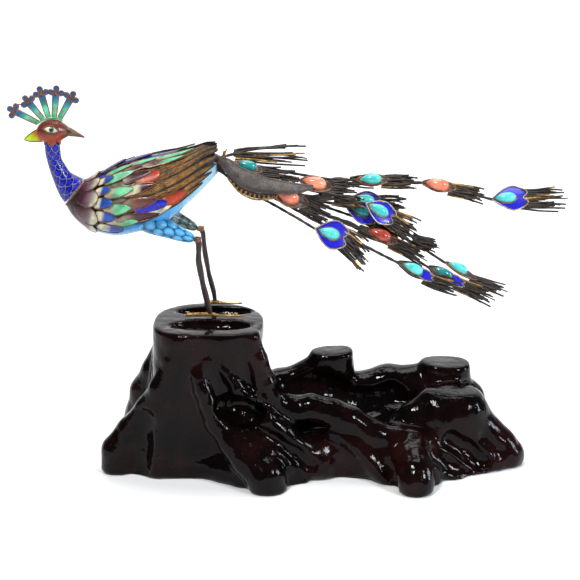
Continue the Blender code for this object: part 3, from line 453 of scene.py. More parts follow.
def rope(path, radius, facing, sides, strands=0, pitch=0.003, loop=False):
    """Rings round a path: centre + radius (cos a side + sin a normal). With strands the radius
    is 0.78 + 0.22 |cos(strands (a - turn) / 2)| of itself, and the turn grows by pi each pitch."""
    path = np.asarray(path, float)
    if loop:
        run = np.roll(path, -1, 0) - np.roll(path, 1, 0)
    else:
        run = np.gradient(path, axis=0)
    along = unit(run)
    normal = unit(np.asarray(facing, float) - along * (along @ np.asarray(facing, float))[:, None])
    side = np.cross(normal, along)
    a = np.linspace(0, 2 * pi, sides, endpoint=False)
    size = np.broadcast_to(radius, len(path))[:, None] * np.ones(sides)
    if strands:
        turn = np.concatenate([[0], np.cumsum(np.linalg.norm(np.diff(path, axis=0), axis=1))]) / pitch * pi
        size = size * (0.78 + 0.22 * np.abs(np.cos((a[None] - turn[:, None]) * strands / 2)))
    ring = np.cos(a)[None, :, None] * side[:, None] + np.sin(a)[None, :, None] * normal[:, None]
    return path[:, None] + size[..., None] * ring


class Spot:
    """A flat place on a piece: s along it, w to its side and h off its face."""

    def __init__(self, start, end, facing):
        self.start = np.asarray(start, float)
        run = np.asarray(end, float) - self.start
        self.length = np.linalg.norm(run)
        self.along = run / self.length
        facing = np.asarray(facing, float)
        self.normal = unit(facing - self.along * (self.along @ facing))
        self.side = np.cross(self.normal, self.along)

    def at(self, s, w, h):
        s, w, h = np.broadcast_arrays(s, w, h)
        return self.start + s[..., None] * self.along + w[..., None] * self.side + h[..., None] * self.normal


def rounded_steps(count):
    """Steps from 0 to 1 that crowd at both ends, so that a rounded outline stays round."""
    return (1 - np.cos(np.linspace(0.02, pi - 0.02, count))) / 2


def pear(u):
    """A drop's half width, pointed at 0 and round at 1: u^0.8 sqrt(1 - u), scaled to 1 at its widest."""
    return u ** 0.8 * np.sqrt(1 - u) / 0.4206


def pebble(spot, start, length, width, rise, base, around=20, count=18):
    """A domed drop: across it is an oval whose width and height follow the drop's outline."""
    u = rounded_steps(count)[:, None]
    a = circle(around)
    lift = np.where(np.sin(a) > 0, rise * pear(u) ** 0.75, 0.25 * rise) * np.sin(a)
    return spot.at(start + u * length, width / 2 * pear(u) * np.cos(a), base + lift)


def both_sides(spot, s, w, h):
    """The closed outline at w on one side of a spot and back on its other side."""
    return np.concatenate([spot.at(s, w, h), spot.at(s[::-1], -w[::-1], h)])


def drop_outline(spot, start, length, width, base, count=26):
    """The closed outline of a drop, down one side and back up the other."""
    u = rounded_steps(count)
    return both_sides(spot, start + u * length, width / 2 * pear(u), base)


def petal_place(shape, length, half_width, u, across):
    """(s, w) on a plate: its half width is shape(u), and a heart's two lobes are pushed on
    past its end by a sine across each half."""
    w = half_width * shape(u) * across
    lobes = 0.22 * np.sin(pi * np.clip(np.abs(w) / half_width, 0, 1)) * u ** 3 - 0.07 * u
    return length * (u + (lobes if shape is heart else 0)), w


def heart(u):
    """A heart's half width from its point at 0: a sine until 0.72, then a quarter of an oval."""
    rising = np.clip(np.sin(pi / 2 * np.clip(u, 0, 0.72) / 0.72), 0.05, 1)
    return rising * np.sqrt(1 - np.clip((u - 0.72) / 0.2805, 0, 1) ** 2)


def cup(u):
    """A leaf's half width: the root of sin(pi u^0.8), narrowed towards its start."""
    return np.sqrt(np.clip(np.sin(pi * np.clip(u, 0, 1) ** 0.8), 0, 1)) * (0.62 + 0.38 * ease(u, 0, 0.5))


def plate(piece, spot, shape, length, half_width, thick, look, tint, rim=None, rise=0.0):
    """A domed plate of that shape, with a wire round its edge."""
    u = rounded_steps(30)[:, None]
    a = circle(24)
    s, w = petal_place(shape, length, half_width, u, np.cos(a))
    lift = (thick * 0.5 + rise * shape(u) * (np.sin(a) > 0)) * np.sin(a)
    piece.grid(spot.at(s, w, lift), look, tint)
    if rim is not None:
        u = rounded_steps(34)
        s, w = petal_place(shape, length, half_width, u, 1.0)
        piece.wire(both_sides(spot, s, w, thick * 0.4), RIM_WIRE, rim, spot.normal, loop=True)


# The bird's body

# Oval sections from the front to the back, as (lower x, lower z, upper x, upper z, half width)
BODY = np.array([
    (-57.3, 44.6, -49.6, 54.2, 5.5), (-54.5, 39.8, -46.5, 55.0, 8.0), (-50.0, 35.9, -42.5, 56.8, 10.5),
    (-44.5, 33.3, -38.0, 59.0, 12.3), (-37.0, 32.0, -32.5, 61.0, 13.5), (-29.0, 33.4, -25.5, 62.6, 13.8),
    (-20.0, 36.2, -18.0, 63.6, 13.2), (-13.5, 40.3, -11.0, 64.5, 11.8), (-8.5, 45.0, -5.5, 65.5, 10.0),
    (-4.0, 49.2, -1.5, 66.0, 8.0), (1.0, 54.5, 2.0, 65.2, 5.8), (3.4, 57.3, 3.6, 64.6, 4.4)])
NECK = np.array([
    (-57.6, 45.2, -49.9, 54.7, 5.4), (-59.4, 47.9, -52.3, 55.9, 4.6), (-61.1, 52.2, -54.9, 57.4, 4.0),
    (-62.9, 58.0, -56.5, 59.9, 3.5), (-64.0, 62.7, -58.1, 62.9, 3.1), (-64.5, 66.0, -58.4, 66.0, 3.0),
    (-64.5, 70.4, -58.7, 70.4, 2.9)])
HEAD = np.array([
    (-67.3, 73.2, -67.3, 75.2, 1.4), (-66.3, 71.6, -66.3, 76.7, 2.9), (-64.5, 69.7, -64.5, 78.0, 4.0),
    (-61.5, 69.4, -61.5, 78.8, 4.6), (-58.8, 69.6, -58.8, 78.5, 4.3), (-56.8, 71.0, -56.8, 77.3, 3.3),
    (-55.2, 71.9, -55.2, 76.0, 2.3)])
BEAK = np.array([
    (-55.4, 72.1, -55.4, 75.9, 1.9), (-54.0, 71.9, -54.0, 75.4, 1.7), (-52.3, 71.8, -52.3, 74.3, 1.25),
    (-50.2, 71.5, -50.2, 72.9, 0.7), (-48.7, 71.3, -48.7, 71.9, 0.25)])


def section(sections, t):
    """The section at t, by a curve through each four neighbours."""
    t = np.asarray(t, float)
    i = np.clip(t.astype(int), 0, len(sections) - 2)
    f = (t - i)[..., None]
    a, b = sections[np.maximum(i - 1, 0)], sections[i]
    c, d = sections[i + 1], sections[np.minimum(i + 2, len(sections) - 1)]
    bend, twist = 2 * a - 5 * b + 4 * c - d, 3 * b - a - 3 * c + d
    return 0.5 * (2 * b + (c - a) * f + bend * f ** 2 + twist * f ** 3)


def oval(sections, t, turn, grow=0.0, side=1):
    """A point of an oval section: middle + rise cos(turn) up and half width sin(turn) to the
    bird's left, both enlarged by grow. The turn starts at the top."""
    t, turn, grow = np.broadcast_arrays(np.asarray(t, float), turn, grow)
    s = section(sections, t)
    middle = np.stack([(s[..., 0] + s[..., 2]) / 2, (s[..., 1] + s[..., 3]) / 2], -1)
    rise = np.stack([(s[..., 2] - s[..., 0]) / 2, (s[..., 3] - s[..., 1]) / 2], -1)
    rise = rise * (1 + grow / np.linalg.norm(rise, axis=-1))[..., None]
    flat = middle + rise * np.cos(turn)[..., None]
    y = -side * (s[..., 4] + grow) * np.sin(turn)
    return on_bird(np.stack([flat[..., 0], y, flat[..., 1]], -1))


def round_grid(rows, columns, last):
    """The (t, turn) of a whole skin, from the first section to the last."""
    return np.linspace(0, last, rows)[:, None], circle(columns)


PURPLE, INK, CREAM = (0.080, 0.019, 0.034), (0.014, 0.006, 0.009), (0.62, 0.60, 0.42)
BLUE, ROYAL, MINT = (0.022, 0.085, 0.42), (0.010, 0.012, 0.42), (0.14, 0.55, 0.28)
RED, SKY, ICE = (0.46, 0.042, 0.010), (0.05, 0.30, 0.62), (0.30, 0.56, 0.72)
OXIDE = (0.045, 0.026, 0.018)


def cell(piece, side, start, end, half, tip, tints, lift, thick, rim, rim_size=0.17, rim_from=0.0,
         look=ENAMEL, strip=(1, 1)):
    """One feather of the plumage on the body: t and turn go straight from start to end,
    its half width rises at once and closes at the tip by a power of what is left, and it
    lies on the body with its tip raised, like a shingle. A wire follows its edge."""
    def outline(u):
        width = half * np.sin(pi / 2 * np.clip(u / 0.22, 0, 1)) ** 0.5 * np.clip(1 - u ** 3.2, 0, 1) ** tip
        middle = np.radians(start[1] + (end[1] - start[1]) * u)
        return start[0] + (end[0] - start[0]) * u, middle, width, lift[0] + (lift[1] - lift[0]) * u ** 1.5

    u = rounded_steps(18)[:, None]
    a = circle(16)
    t, middle, width, raised = outline(u)
    places, colours = zip(*tints)
    tint = np.stack([np.interp(u[:, 0], places, [c[k] for c in colours]) for k in range(3)], 1)
    tint = with_wear(tint, 0.35)
    shades = np.broadcast_to(tint[:, None], u.shape[:1] + (16, 4)).copy()
    # Each feather darkens towards its side edges: painted shade between the feathers, together with the
    # darker enamel pooled by the wire
    shades[..., :3] *= (1 - 0.62 * np.abs(np.cos(a)) ** 7)[..., None]
    skin = oval(BODY, t, middle + width * np.cos(a), raised + thick * np.sin(a), side)
    piece.grid(skin, look, shades, strip=strip)
    steps = 22
    t, middle, width, raised = outline(rim_from + (1 - rim_from) * rounded_steps(steps))
    raised = raised + thick * 0.5
    edge = np.concatenate([oval(BODY, t, middle + width, raised, side),
                           oval(BODY, t[::-1], (middle - width)[::-1], raised[::-1], side)])
    centre = steps // 2
    foot = oval(BODY, t[centre], middle[centre], 0.0, side)
    facing = unit(oval(BODY, t[centre], middle[centre], 1.0, side) - foot)
    if rim_from:
        edge = np.roll(edge, -steps, 0)
    piece.wire(edge, rim_size * SHARE, rim, facing, 5, loop=not rim_from)


def body():
    """The body's oval sections with the mantle's dark enamel in front, five cream-edged
    scallops on each side, three dark blue leaves down the back, and sky blue below."""
    piece = Piece("body_enamelled", "body")
    t, turn = round_grid(150, 96, 11)
    around = np.degrees(np.minimum(turn, 2 * pi - turn))
    belly = ease(around + 6 * np.sin(t * 2) + 55 * ease(t, 5, 9), 118, 130) * ease(t, 2.4, 3.2)
    front = ease(t, 0, 1.2)
    mantle = blend(0.5 + 0.5 * np.sin(turn * 5 + t * 3), PURPLE, INK)
    tint = blend(belly, mantle * (0.6 + 0.4 * front[..., None]), SKY)
    tint = blend(belly * ease(t, 5.5, 9.5), tint, ICE)
    tint = blend(0.9 * ease(t, 10.4, 10.9) + 0 * turn, tint, (0.05, 0.02, 0.035))
    tint = blend(ease(30 - around, 0, 8) * ease(t, 0.4, 1.4), tint, (0.030, 0.034, 0.30))
    piece.grid(oval(BODY, t, turn), ENAMEL, with_wear(tint, 0.75 * (1 - belly)))
    tints = [(0, INK), (0.4, PURPLE), (0.70, (0.24, 0.15, 0.18)), (0.78, (0.46, 0.46, 0.36)),
             (0.86, CREAM), (1, CREAM)]
    for side in (1, -1):
        for turn, tip_t in ((4, 1.6), (39, 2.05), (75, 2.45), (111, 2.85), (144, 2.95)):
            cell(piece, side, (tip_t - 2.2, turn), (tip_t, turn), radians(22), 0.5, tints,
                 lift=(-0.35, 1.7 if turn < 130 else 0.6), thick=0.42, rim=COPPER, rim_from=0.62)
    for start_t in (1.7, 3.2, 4.7):
        cell(piece, 1, (start_t, 0), (start_t + 2.2, 0), radians(10), 0.7,
             [(0, INK), (0.3, (0.02, 0.024, 0.2)), (1, (0.04, 0.05, 0.36))],
             lift=(0.6, 1.9), thick=0.5, rim=COPPER)
    turn = np.linspace(0, 2 * pi, 96)[:-1]
    piece.wire(oval(BODY, 0.08, turn, 0.1), STOUT_WIRE, COPPER, (1, 0, 0.4), loop=True)
    # The rounded end that the tail's stems leave
    hub = ((-0.6, 0), (-0.2, 0.3), (-0.6, 1.0), (-2.0, 1.3))
    rings = [oval(BODY, 11, turn, grow) + (along * SHARE, 0, 0) for grow, along in hub]
    piece.grid(np.array(rings), WIRE)
    piece.done()


# Plumage of a wing: where each feather starts and ends as (t, turn in degrees), its half width
# in degrees, how pointed it is, and its tints from base to tip.
GREY_CREAM = (0.36, 0.34, 0.25)
COVERTS = [
    # The back row first, then row after row towards the head
    ((6.0, 97), (7.9, 97), 9.5, 0.7, [(0, CREAM), (0.2, RED), (0.8, RED), (1, (0.22, 0.04, 0.02))]),
    ((4.9, 98), (6.5, 97), 9.5, 0.6, [(0, ROYAL), (1, ROYAL)]),
    ((5.1, 109), (6.8, 105), 7, 0.8, [(0, GREY_CREAM), (0.6, CREAM), (1, CREAM)]),
    ((4.7, 53), (5.95, 52), 10.5, 0.4, [(0, (0.30, 0.12, 0.05)), (0.25, RED), (1, RED)]),
    ((4.0, 108), (6.1, 110), 7, 0.9, [(0, GREY_CREAM), (0.45, PURPLE), (1, INK)]),
    ((4.1, 88), (6.0, 87), 8, 0.9, [(0, GREY_CREAM), (0.4, (0.16, 0.06, 0.04)), (1, PURPLE)]),
    ((4.0, 68), (5.8, 65), 7, 0.9, [(0, GREY_CREAM), (0.5, CREAM), (0.62, PURPLE), (1, INK)]),
    ((4.0, 48), (5.6, 45), 7, 0.9, [(0, GREY_CREAM), (0.35, PURPLE), (1, INK)]),
    ((5.0, 33), (7.3, 29), 4.5, 0.9, [(0, GREY_CREAM), (0.3, PURPLE), (0.6, MINT), (1, MINT)]),
    ((3.9, 33), (6.0, 29), 5, 0.9, [(0, GREY_CREAM), (0.35, PURPLE), (1, PURPLE)]),
    ((5.6, 22), (7.9, 18), 4.5, 0.9, [(0, GREY_CREAM), (0.4, MINT), (1, MINT)]),
    ((3.4, 113), (5.1, 114), 8, 0.75, [(0, CREAM), (0.4, GREY_CREAM), (0.5, MINT), (1, MINT)]),
    ((3.1, 92), (4.7, 91), 8.5, 0.75, [(0, CREAM), (0.35, GREY_CREAM), (0.45, MINT), (1, MINT)]),
    ((2.9, 67), (4.7, 65), 8, 0.75, [(0, CREAM), (0.35, GREY_CREAM), (0.42, MINT), (1, (0.30, 0.68, 0.42))]),
    ((2.5, 42), (4.6, 39), 8, 0.75, [(0, CREAM), (0.25, MINT), (1, (0.30, 0.70, 0.48))]),
    ((2.6, 26), (4.4, 24), 5, 0.9, [(0, GREY_CREAM), (0.3, MINT), (1, MINT)]),
    ((4.1, 22), (6.1, 19), 4, 0.9, [(0, GREY_CREAM), (0.4, MINT), (1, MINT)]),
    ((2.9, 126), (4.4, 124), 8, 0.6, [(0, CREAM), (0.4, CREAM), (0.5, BLUE), (1, BLUE)]),
    ((2.5, 104), (3.9, 103), 8.5, 0.6, [(0, CREAM), (0.4, CREAM), (0.5, BLUE), (1, BLUE)]),
    ((2.2, 82), (3.6, 81), 8.5, 0.6, [(0, CREAM), (0.35, CREAM), (0.45, BLUE), (1, BLUE)]),
    ((2.0, 61), (3.25, 60), 7.5, 0.6, [(0, CREAM), (0.4, CREAM), (0.5, BLUE), (1, BLUE)]),
    ((1.9, 40), (3.3, 40), 7, 0.7, [(0, CREAM), (0.4, CREAM), (0.5, BLUE), (1, BLUE)]),
]
# Flight feathers: start, end, half width in degrees, and how far the tip stands off the body
FLIGHTS = [
    ((4.8, 104), (9.2, 106), 8.5, 0.4), ((5.0, 95), (10.0, 92), 9, 0.8), ((4.8, 85), (10.6, 73), 9, 1.3),
    ((4.4, 75), (10.8, 50), 9, 2.0), ((4.6, 64), (11.0, 28), 7.5, 2.8), ((5.0, 53), (10.6, 16), 7.5, 2.9),
    ((5.2, 42), (9.3, 12), 7.5, 1.7), ((5.8, 31), (8.9, 6), 6.5, 1.4),
]
# A wing's lower edge in degrees and its lift off the body, at t = 3, 4 and so on to 11
WING_LOW = (131, 130, 121, 116, 113, 112, 101, 90, 75)
WING_LIFT = (0, 0, 0, 0, 0, 0.3, 1.0, 2.2, 3.6)


def wing(name, side):
    """A shell over the flank, its offset lifted towards the tail, under the gilt flight
    feathers and the enamelled coverts. The right wing reaches a little less far back."""
    piece = Piece(name + "_feathered", name)
    shell_end, reach = (10.2, 1.0) if side > 0 else (9.4, 0.9)
    t = np.linspace(3, shell_end, 60)[:, None]
    low = np.interp(t, range(3, 12), WING_LOW) - 14 * ease(t, 6.5, 10.5)
    lift = np.interp(t, range(3, 12), WING_LIFT)
    a = circle(48)
    share = 0.5 - 0.5 * np.cos(a)
    high = 15 + 14 * ease(t, 8.5, 10.2)
    turn = np.radians(high + (low - high) * share)
    thick = 0.35 * np.sin(a) * np.minimum(1, 4 * np.sqrt(share * (1 - share)))
    grow = 0.3 + thick + lift * (1 - 0.6 * share) * 0.8
    shade = blend(ease(t + 0 * turn, 4.4, 5.6), (0.20, 0.18, 0.125), (0.035, 0.022, 0.014))
    piece.grid(oval(BODY, t, turn, grow, side), ENAMEL, with_wear(shade, 0.6))
    for start, end, half, stand in FLIGHTS:
        end = (start[0] + (end[0] - start[0]) * reach, end[1])
        cell(piece, side, start, end, radians(half), 0.8, [(0, OXIDE), (1, OXIDE)], lift=(0.75, 1.0 + stand),
             thick=0.75, look=FLIGHT, rim=WIRE, rim_size=0.30, strip=(2, 1))
    for start, end, half, tip, tints in COVERTS:
        rise = 0.75 + 0.5 * max(0, end[0] - 5.2)
        cell(piece, side, start, end, radians(half * 1.16), tip, tints, lift=(rise, rise + 1.2), thick=0.4,
             rim=COPPER, rim_size=0.15)
    piece.done()


def neck():
    """The neck's oval sections, with six scales round it and twelve rows down it."""
    piece = Piece("neck_scaled", "neck")
    t, turn = round_grid(60, 48, 6)
    points = oval(NECK, t, turn)[::-1]
    piece.grid(points, NECK_SCALES, strip=(6, 6))
    piece.done()


def eye(piece, side):
    """A cream almond with a wire round it, a dark iris and a black pupil."""
    corner, inner = on_bird((-64.3, -side * 4.35, 76.1)), on_bird((-58.1, -side * 4.35, 74.9))
    spot = Spot(corner, inner, (0, -side, 0.18))
    u = rounded_steps(16)[:, None]
    b = circle(20)
    half = 1.35 * SHARE * np.sin(pi * u) ** 0.9
    lift = 0.55 * SHARE * np.sin(pi * u) * np.sin(b)
    piece.grid(spot.at(u * spot.length, half * np.cos(b), lift), ENAMEL, (0.62, 0.66, 0.50))
    edge_u = np.linspace(0, 1, 20)
    edge_w = 1.38 * SHARE * np.sin(pi * edge_u) ** 0.9
    edge = np.concatenate([spot.at(edge_u * spot.length, edge_w, 0.0003),
                           spot.at(edge_u[::-1] * spot.length, -edge_w[::-1], 0.0003)[1:-1]])
    piece.wire(edge, FINE_WIRE, COPPER, spot.normal, loop=True)
    for size, height, tint in ((1.15, 0.72, (0.10, 0.13, 0.10)), (0.72, 0.9, (0.006, 0.006, 0.007))):
        r = np.linspace(0.05, 1, 6)[:, None]
        disc = spot.at(spot.length * 0.53 + size * SHARE * r * np.sin(b), size * SHARE * r * np.cos(b),
                       height * SHARE - 0.35 * SHARE * r ** 2 + 0 * b)
        piece.grid(disc, ENAMEL, tint)


def head():
    """The head's oval sections, flat where it meets the neck, red-brown with a redder cheek,
    a collar in points over the neck, and a wired almond eye on each side."""
    piece = Piece("head_enamelled", "head")
    t, turn = round_grid(48, 48, 6)
    points = oval(HEAD, t, turn)
    x, z = (points[..., 0] - FEET[0]) / SHARE, (points[..., 2] - FEET[2]) / SHARE
    red = blend(ease(-z, -75.5, -71.0), (0.145, 0.030, 0.018), (0.32, 0.040, 0.009))
    tint = blend(ease(x, -57.5, -55.8), red, (0.16, 0.06, 0.035))
    piece.grid(points, ENAMEL, with_wear(tint, 0.12))
    collar_x = -61.45
    a = circle(60)
    v = np.linspace(0, 1, 8)[:, None]
    drop = 71.6 - (1.2 + 1.6 * np.abs(np.cos(a * 2.5 + 0.6)) ** 1.5) * v
    reach = 3.35 + 0.15 * np.sin(pi * v)
    ring = np.stack([collar_x + reach * np.cos(a) * 1.02, reach * 1.03 * np.sin(a), drop + 0 * a], -1)
    ring_in = ring.copy()
    ring_in[..., 0] = collar_x + (ring[..., 0] - collar_x) * 0.93
    ring_in[..., 1] *= 0.93
    piece.grid(on_bird(np.concatenate([ring, ring_in[::-1]])), ENAMEL, (0.27, 0.036, 0.010), loop=True)
    for side in (1, -1):
        eye(piece, side)
        back, front = on_bird((-55.9, -side * 2.35, 74.9)), on_bird((-53.6, -side * 1.75, 74.3))
        nostril = Spot(back, front, (0, -side, 0.3))
        piece.grid(pebble(nostril, 0, nostril.length, 0.0007, 0.00025, 0), ENAMEL, (0.01, 0.008, 0.008))
    piece.done()


def beak():
    """The beak's oval sections, with a line of painted shade where it parts."""
    piece = Piece("beak_enamelled", "beak")
    t, turn = round_grid(30, 28, 4)
    points = oval(BEAK, t, turn)
    # Painted shade: a dark line along the gap where the beak parts
    parting_shade = np.exp(-((np.degrees(turn) % 180 - 96) / 9) ** 2) * (1 - t / 5)
    tint = blend(t / 4 + 0 * turn, (0.23, 0.12, 0.055), (0.09, 0.045, 0.035))
    tint = blend(np.clip(parting_shade, 0, 0.75), tint, (0.03, 0.015, 0.012))
    piece.grid(points, ENAMEL, with_wear(tint, 0.3))
    piece.done()


def lappet():
    """A leaf behind the head: its outline swept from a thick root to its tip."""
    piece = Piece("nape_lappet_enamelled", "nape_lappet")
    spot = Spot(on_bird((-65.5, 0, 72.6)), on_bird((-72.3, 0, 70.6)), (0, -1, 0))
    u = rounded_steps(30)[:, None]
    a = circle(20)
    half = 2.55 * SHARE * np.clip(1 - u ** 1.6, 0, 1) ** 0.8
    points = spot.at(u * spot.length, half * np.cos(a), 0.00062 * np.sin(a) * (1 - 0.4 * u))
    tint = blend(ease(u + 0.10 * np.cos(a), 0.22, 0.55), (0.52, 0.16, 0.012), (0.40, 0.62, 0.012))
    piece.grid(points, ENAMEL, tint)
    u = rounded_steps(24)
    half = 2.55 * SHARE * np.clip(1 - u ** 1.6, 0, 1) ** 0.8
    piece.wire(both_sides(spot, u * spot.length, half, 0), 0.00028, COPPER, loop=True)
    piece.done()


# Each plume's foot and top as (x, z), and how worn it is
PLUMES = [
    ((-66.7, 77.3), (-75.0, 81.6), 0.50), ((-64.8, 78.8), (-69.6, 84.9), 0.55),
    ((-62.6, 79.6), (-64.8, 88.0), 0.0),
    ((-60.3, 79.7), (-59.3, 88.2), 0.40), ((-58.1, 79.3), (-53.9, 86.4), 0.12)]
LOBES = ((-62, 2.2), (0, 2.6), (62, 2.2))


def crest():
    """Five ribbon plumes, mint at the foot and blue at the top, each with three wired drops."""
    piece = Piece("crest_plumes", "crest")
    for foot, top, worn in PLUMES:
        spot = Spot(on_bird((foot[0], 0, foot[1])), on_bird((top[0], 0, top[1])), (0, -1, 0))
        u = np.linspace(0, 1.06, 26)[:, None]
        a = circle(16)
        half = (0.85 + 0.40 * u) * SHARE
        across = half * np.sign(np.cos(a)) * np.abs(np.cos(a)) ** 0.5
        band = spot.at(u * spot.length, across, 0.00034 * np.sin(a))
        tint = blend(ease(u, 0.35, 0.95), (0.08, 0.42, 0.17), (0.010, 0.13, 0.30))
        tint = blend(ease(u, 0.05, 0.35) * (1 - ease(u, 0.4, 0.7)), tint, (0.13, 0.56, 0.38))
        tint = blend(worn * np.exp(-((u - 0.33) / 0.13) ** 2), tint, (0.24, 0.15, 0.10))
        piece.grid(band, ENAMEL, np.broadcast_to(with_wear(tint, 0.45), (26, 16, 4)))
        steps = np.linspace(0, 1.04, 30)
        for w in (1, -1):
            edge = spot.at(steps * spot.length, w * (0.85 + 0.40 * steps) * SHARE, 0)
            piece.wire(edge, FINE_WIRE, COPPER)
        for turn, distance in LOBES:
            ahead = spot.along * cos(radians(turn)) + spot.side * sin(radians(turn))
            centre = spot.start + spot.along * spot.length + ahead * distance * SHARE
            drop = Spot(centre - ahead * 1.45 * SHARE, centre + ahead * 1.1 * SHARE, (0, -1, 0))
            piece.grid(pebble(drop, 0, drop.length, 0.0019, 0.0003, 0, 12, 12), ENAMEL, (0.018, 0.075, 0.22))
            rim = drop_outline(drop, 0, drop.length, 0.0019, 0.0, 14)
            piece.wire(rim, STOUT_WIRE, COPPER, loop=True)
            stalk = np.stack([spot.start + spot.along * spot.length, centre - ahead * 1.2 * SHARE])
            piece.wire(through(stalk, 6), 0.00055, COPPER)
    for first, second in ((0, 1), (2, 3), (3, 4)):
        ends = []
        for number, turn in ((first, 62), (second, -62)):
            foot, top = (np.array(p) for p in PLUMES[number][:2])
            along = (top - foot) / np.linalg.norm(top - foot)
            across = np.array([along[1], -along[0]])
            tip = top + (along * cos(radians(turn)) + across * sin(radians(turn))) * 2.8
            ends.append(on_bird((tip[0], 0, tip[1])))
        middle = (ends[0] + ends[1]) / 2 + np.array([0, 0, 0.0004])
        piece.wire(through([ends[0], middle, ends[1]], 8, 1), RIM_WIRE, COPPER)
    arc = on_bird([(-67.0, 0, 77.1), (-64.8, 0, 78.6), (-61.5, 0, 79.35), (-58.7, 0, 79.2), (-57.0, 0, 78.2)])
    piece.grid(rope(through(arc, 24, 3), 0.00042, (0, -1, 0), 8), ENAMEL, (0.12, 0.42, 0.20))
    piece.done()


# Legs and feet

# Thighs and legs as (x, y, z, radius), and feet, which lie on the stump, as (x, y, radius)
THIGHS = {
    "left": [
        (-26, -5.5, 40, 4.8), (-22.5, -6.2, 38.4, 4.6), (-17.4, -7, 36.6, 3.9), (-11.5, -8, 34.2, 2.8),
        (-5.7, -9, 32.4, 1.8)],
    "right": [
        (-26, 5.0, 41, 4.4), (-22, 5.5, 40.0, 4.3), (-16.5, 6.3, 37.6, 3.7), (-10.5, 6.8, 34.9, 2.5),
        (-5.4, 7, 32.2, 1.5)],
}
LEGS = {
    "left": [
        (-5.6, -9, 32.6, 1.2), (-4.4, -9, 32.2, 1.3), (-4.1, -9, 30.4, 1.3), (-4.3, -8.9, 23.5, 1.3),
        (-2.8, -8.7, 13.9, 1.3), (-1.3, -8.6, 7.2, 1.25), (-0.1, -8.6, 1.6, 1.2)],
    "right": [
        (-5.2, 7, 32.5, 1.0), (-3.9, 7, 32.1, 1.1), (-3.2, 7, 30.4, 1.1), (-2.6, 7, 22.6, 1.1),
        (-1.1, 7.1, 13, 1.1), (0.8, 7.2, 5.2, 1.05), (1.2, 7.2, 1.6, 1)],
}
FEET_RUNS = {
    "left": [
        (-10.2, -8.6, 0.5), (-9.0, -8.6, 0.8), (-5.5, -8.6, 0.9), (-1.9, -8.6, 0.9), (-0.1, -8.6, 1.15),
        (2.0, -8.6, 0.7), (5.0, -8.6, 0.45), (13.4, -8.6, 0.4)],
    "right": [
        (-3.4, 7.2, 0.5), (-2.0, 7.2, 0.8), (-0.4, 7.2, 0.9), (1.2, 7.2, 1.15), (3.6, 7.2, 0.7),
        (6.0, 7.2, 0.45), (12.4, 7.2, 0.4)],
}


def limbs():
    """On each side a tapered thigh, a leg of two twisted strands and a foot of gilt wire."""
    # The far thigh takes SHADE_SCALES, its green enamel darkened with painted shade
    for side, scales in (("left", THIGH_SCALES), ("right", SHADE_SCALES)):
        run = through(THIGHS[side], 50, 6)
        piece = Piece("thigh_%s_scaled" % side, "thigh_" + side)
        round_end = np.ones(50)
        round_end[-5:] = (0.96, 0.9, 0.8, 0.62, 0.3)
        tube = rope(on_bird(run[:, :3]), run[:, 3] * SHARE * round_end, (0, -1, 0), 36)
        piece.grid(tube, scales, strip=(6, 4.9))
        piece.done()
        run = through(LEGS[side], 170, 8)
        piece = Piece("leg_%s_twisted" % side, "leg_" + side)
        piece.wire(on_bird(run[:, :3]), run[:, 3] * SHARE, LEG_WIRE, sides=14, strands=2, pitch=0.013)
        knee = on_bird(run[6, :3])
        cap = through([knee - (0, 0, 0.0006), knee + (0, 0, 0.0011)], 5)
        piece.wire(cap, 0.0015, COPPER, sides=12)
        piece.done()
        run = through([(x, y, r, r) for x, y, r in FEET_RUNS[side]], 120, 3)
        piece = Piece("foot_%s_gilt" % side, "foot_" + side)
        piece.wire(on_bird(run[:, :3]), run[:, 3] * SHARE, GILT, (0, 0, 1), 12, strands=2, pitch=0.0016)
        piece.done()


# The tail

SHIELD_UPPER = [(4.0, -4.9, 64.9), (8.6, -7.2, 64.4), (12.5, -8.3, 61.6), (17.6, -8.6, 59.2),
                (24.2, -8.4, 56.9), (30.4, -8.0, 55.4), (35.9, -7.0, 54.4), (41.1, -5.6, 53.4)]
SHIELD_LOWER = [(4.0, -4.9, 63.0), (8.0, -7.2, 58.2), (12.7, -8.8, 54.2), (17.8, -9.4, 52.1),
                (24.1, -9.4, 51.6), (30.4, -9.0, 51.3), (36.3, -8.0, 51.3), (41.1, -5.8, 52.7)]
# How far the shield bows out between its edges, from its root to its tip
SHIELD_FULL = (0.1, 1.2, 2.0, 2.2, 1.9, 1.4, 0.9, 0.2)
SHIELD_STEPS = 70


def shield():
    """A leaf between its two edges, hollow behind: each cross line bows out by full times a
    sine, and the sheet turns round at both edges."""
    piece = Piece("shield_sheet", "shield_plate")
    upper, lower = (through(edge, SHIELD_STEPS, 4) for edge in (SHIELD_UPPER, SHIELD_LOWER))
    full = np.interp(np.linspace(0, 7, SHIELD_STEPS), range(8), SHIELD_FULL)[:, None]
    a = circle(48)
    share = 0.5 - 0.5 * np.cos(a)
    places = upper[:, None] * (1 - share[..., None]) + lower[:, None] * share[..., None]
    places[..., 1] -= full * np.sin(pi * share) + 0.4 - 0.38 * np.sin(a)
    piece.grid(on_bird(places), SHEET)
    for edge in (upper, lower):
        path = on_bird(edge - (0, 0.4, 0))
        piece.wire(path, 0.0004, SHEET, sides=8)
    piece.done()


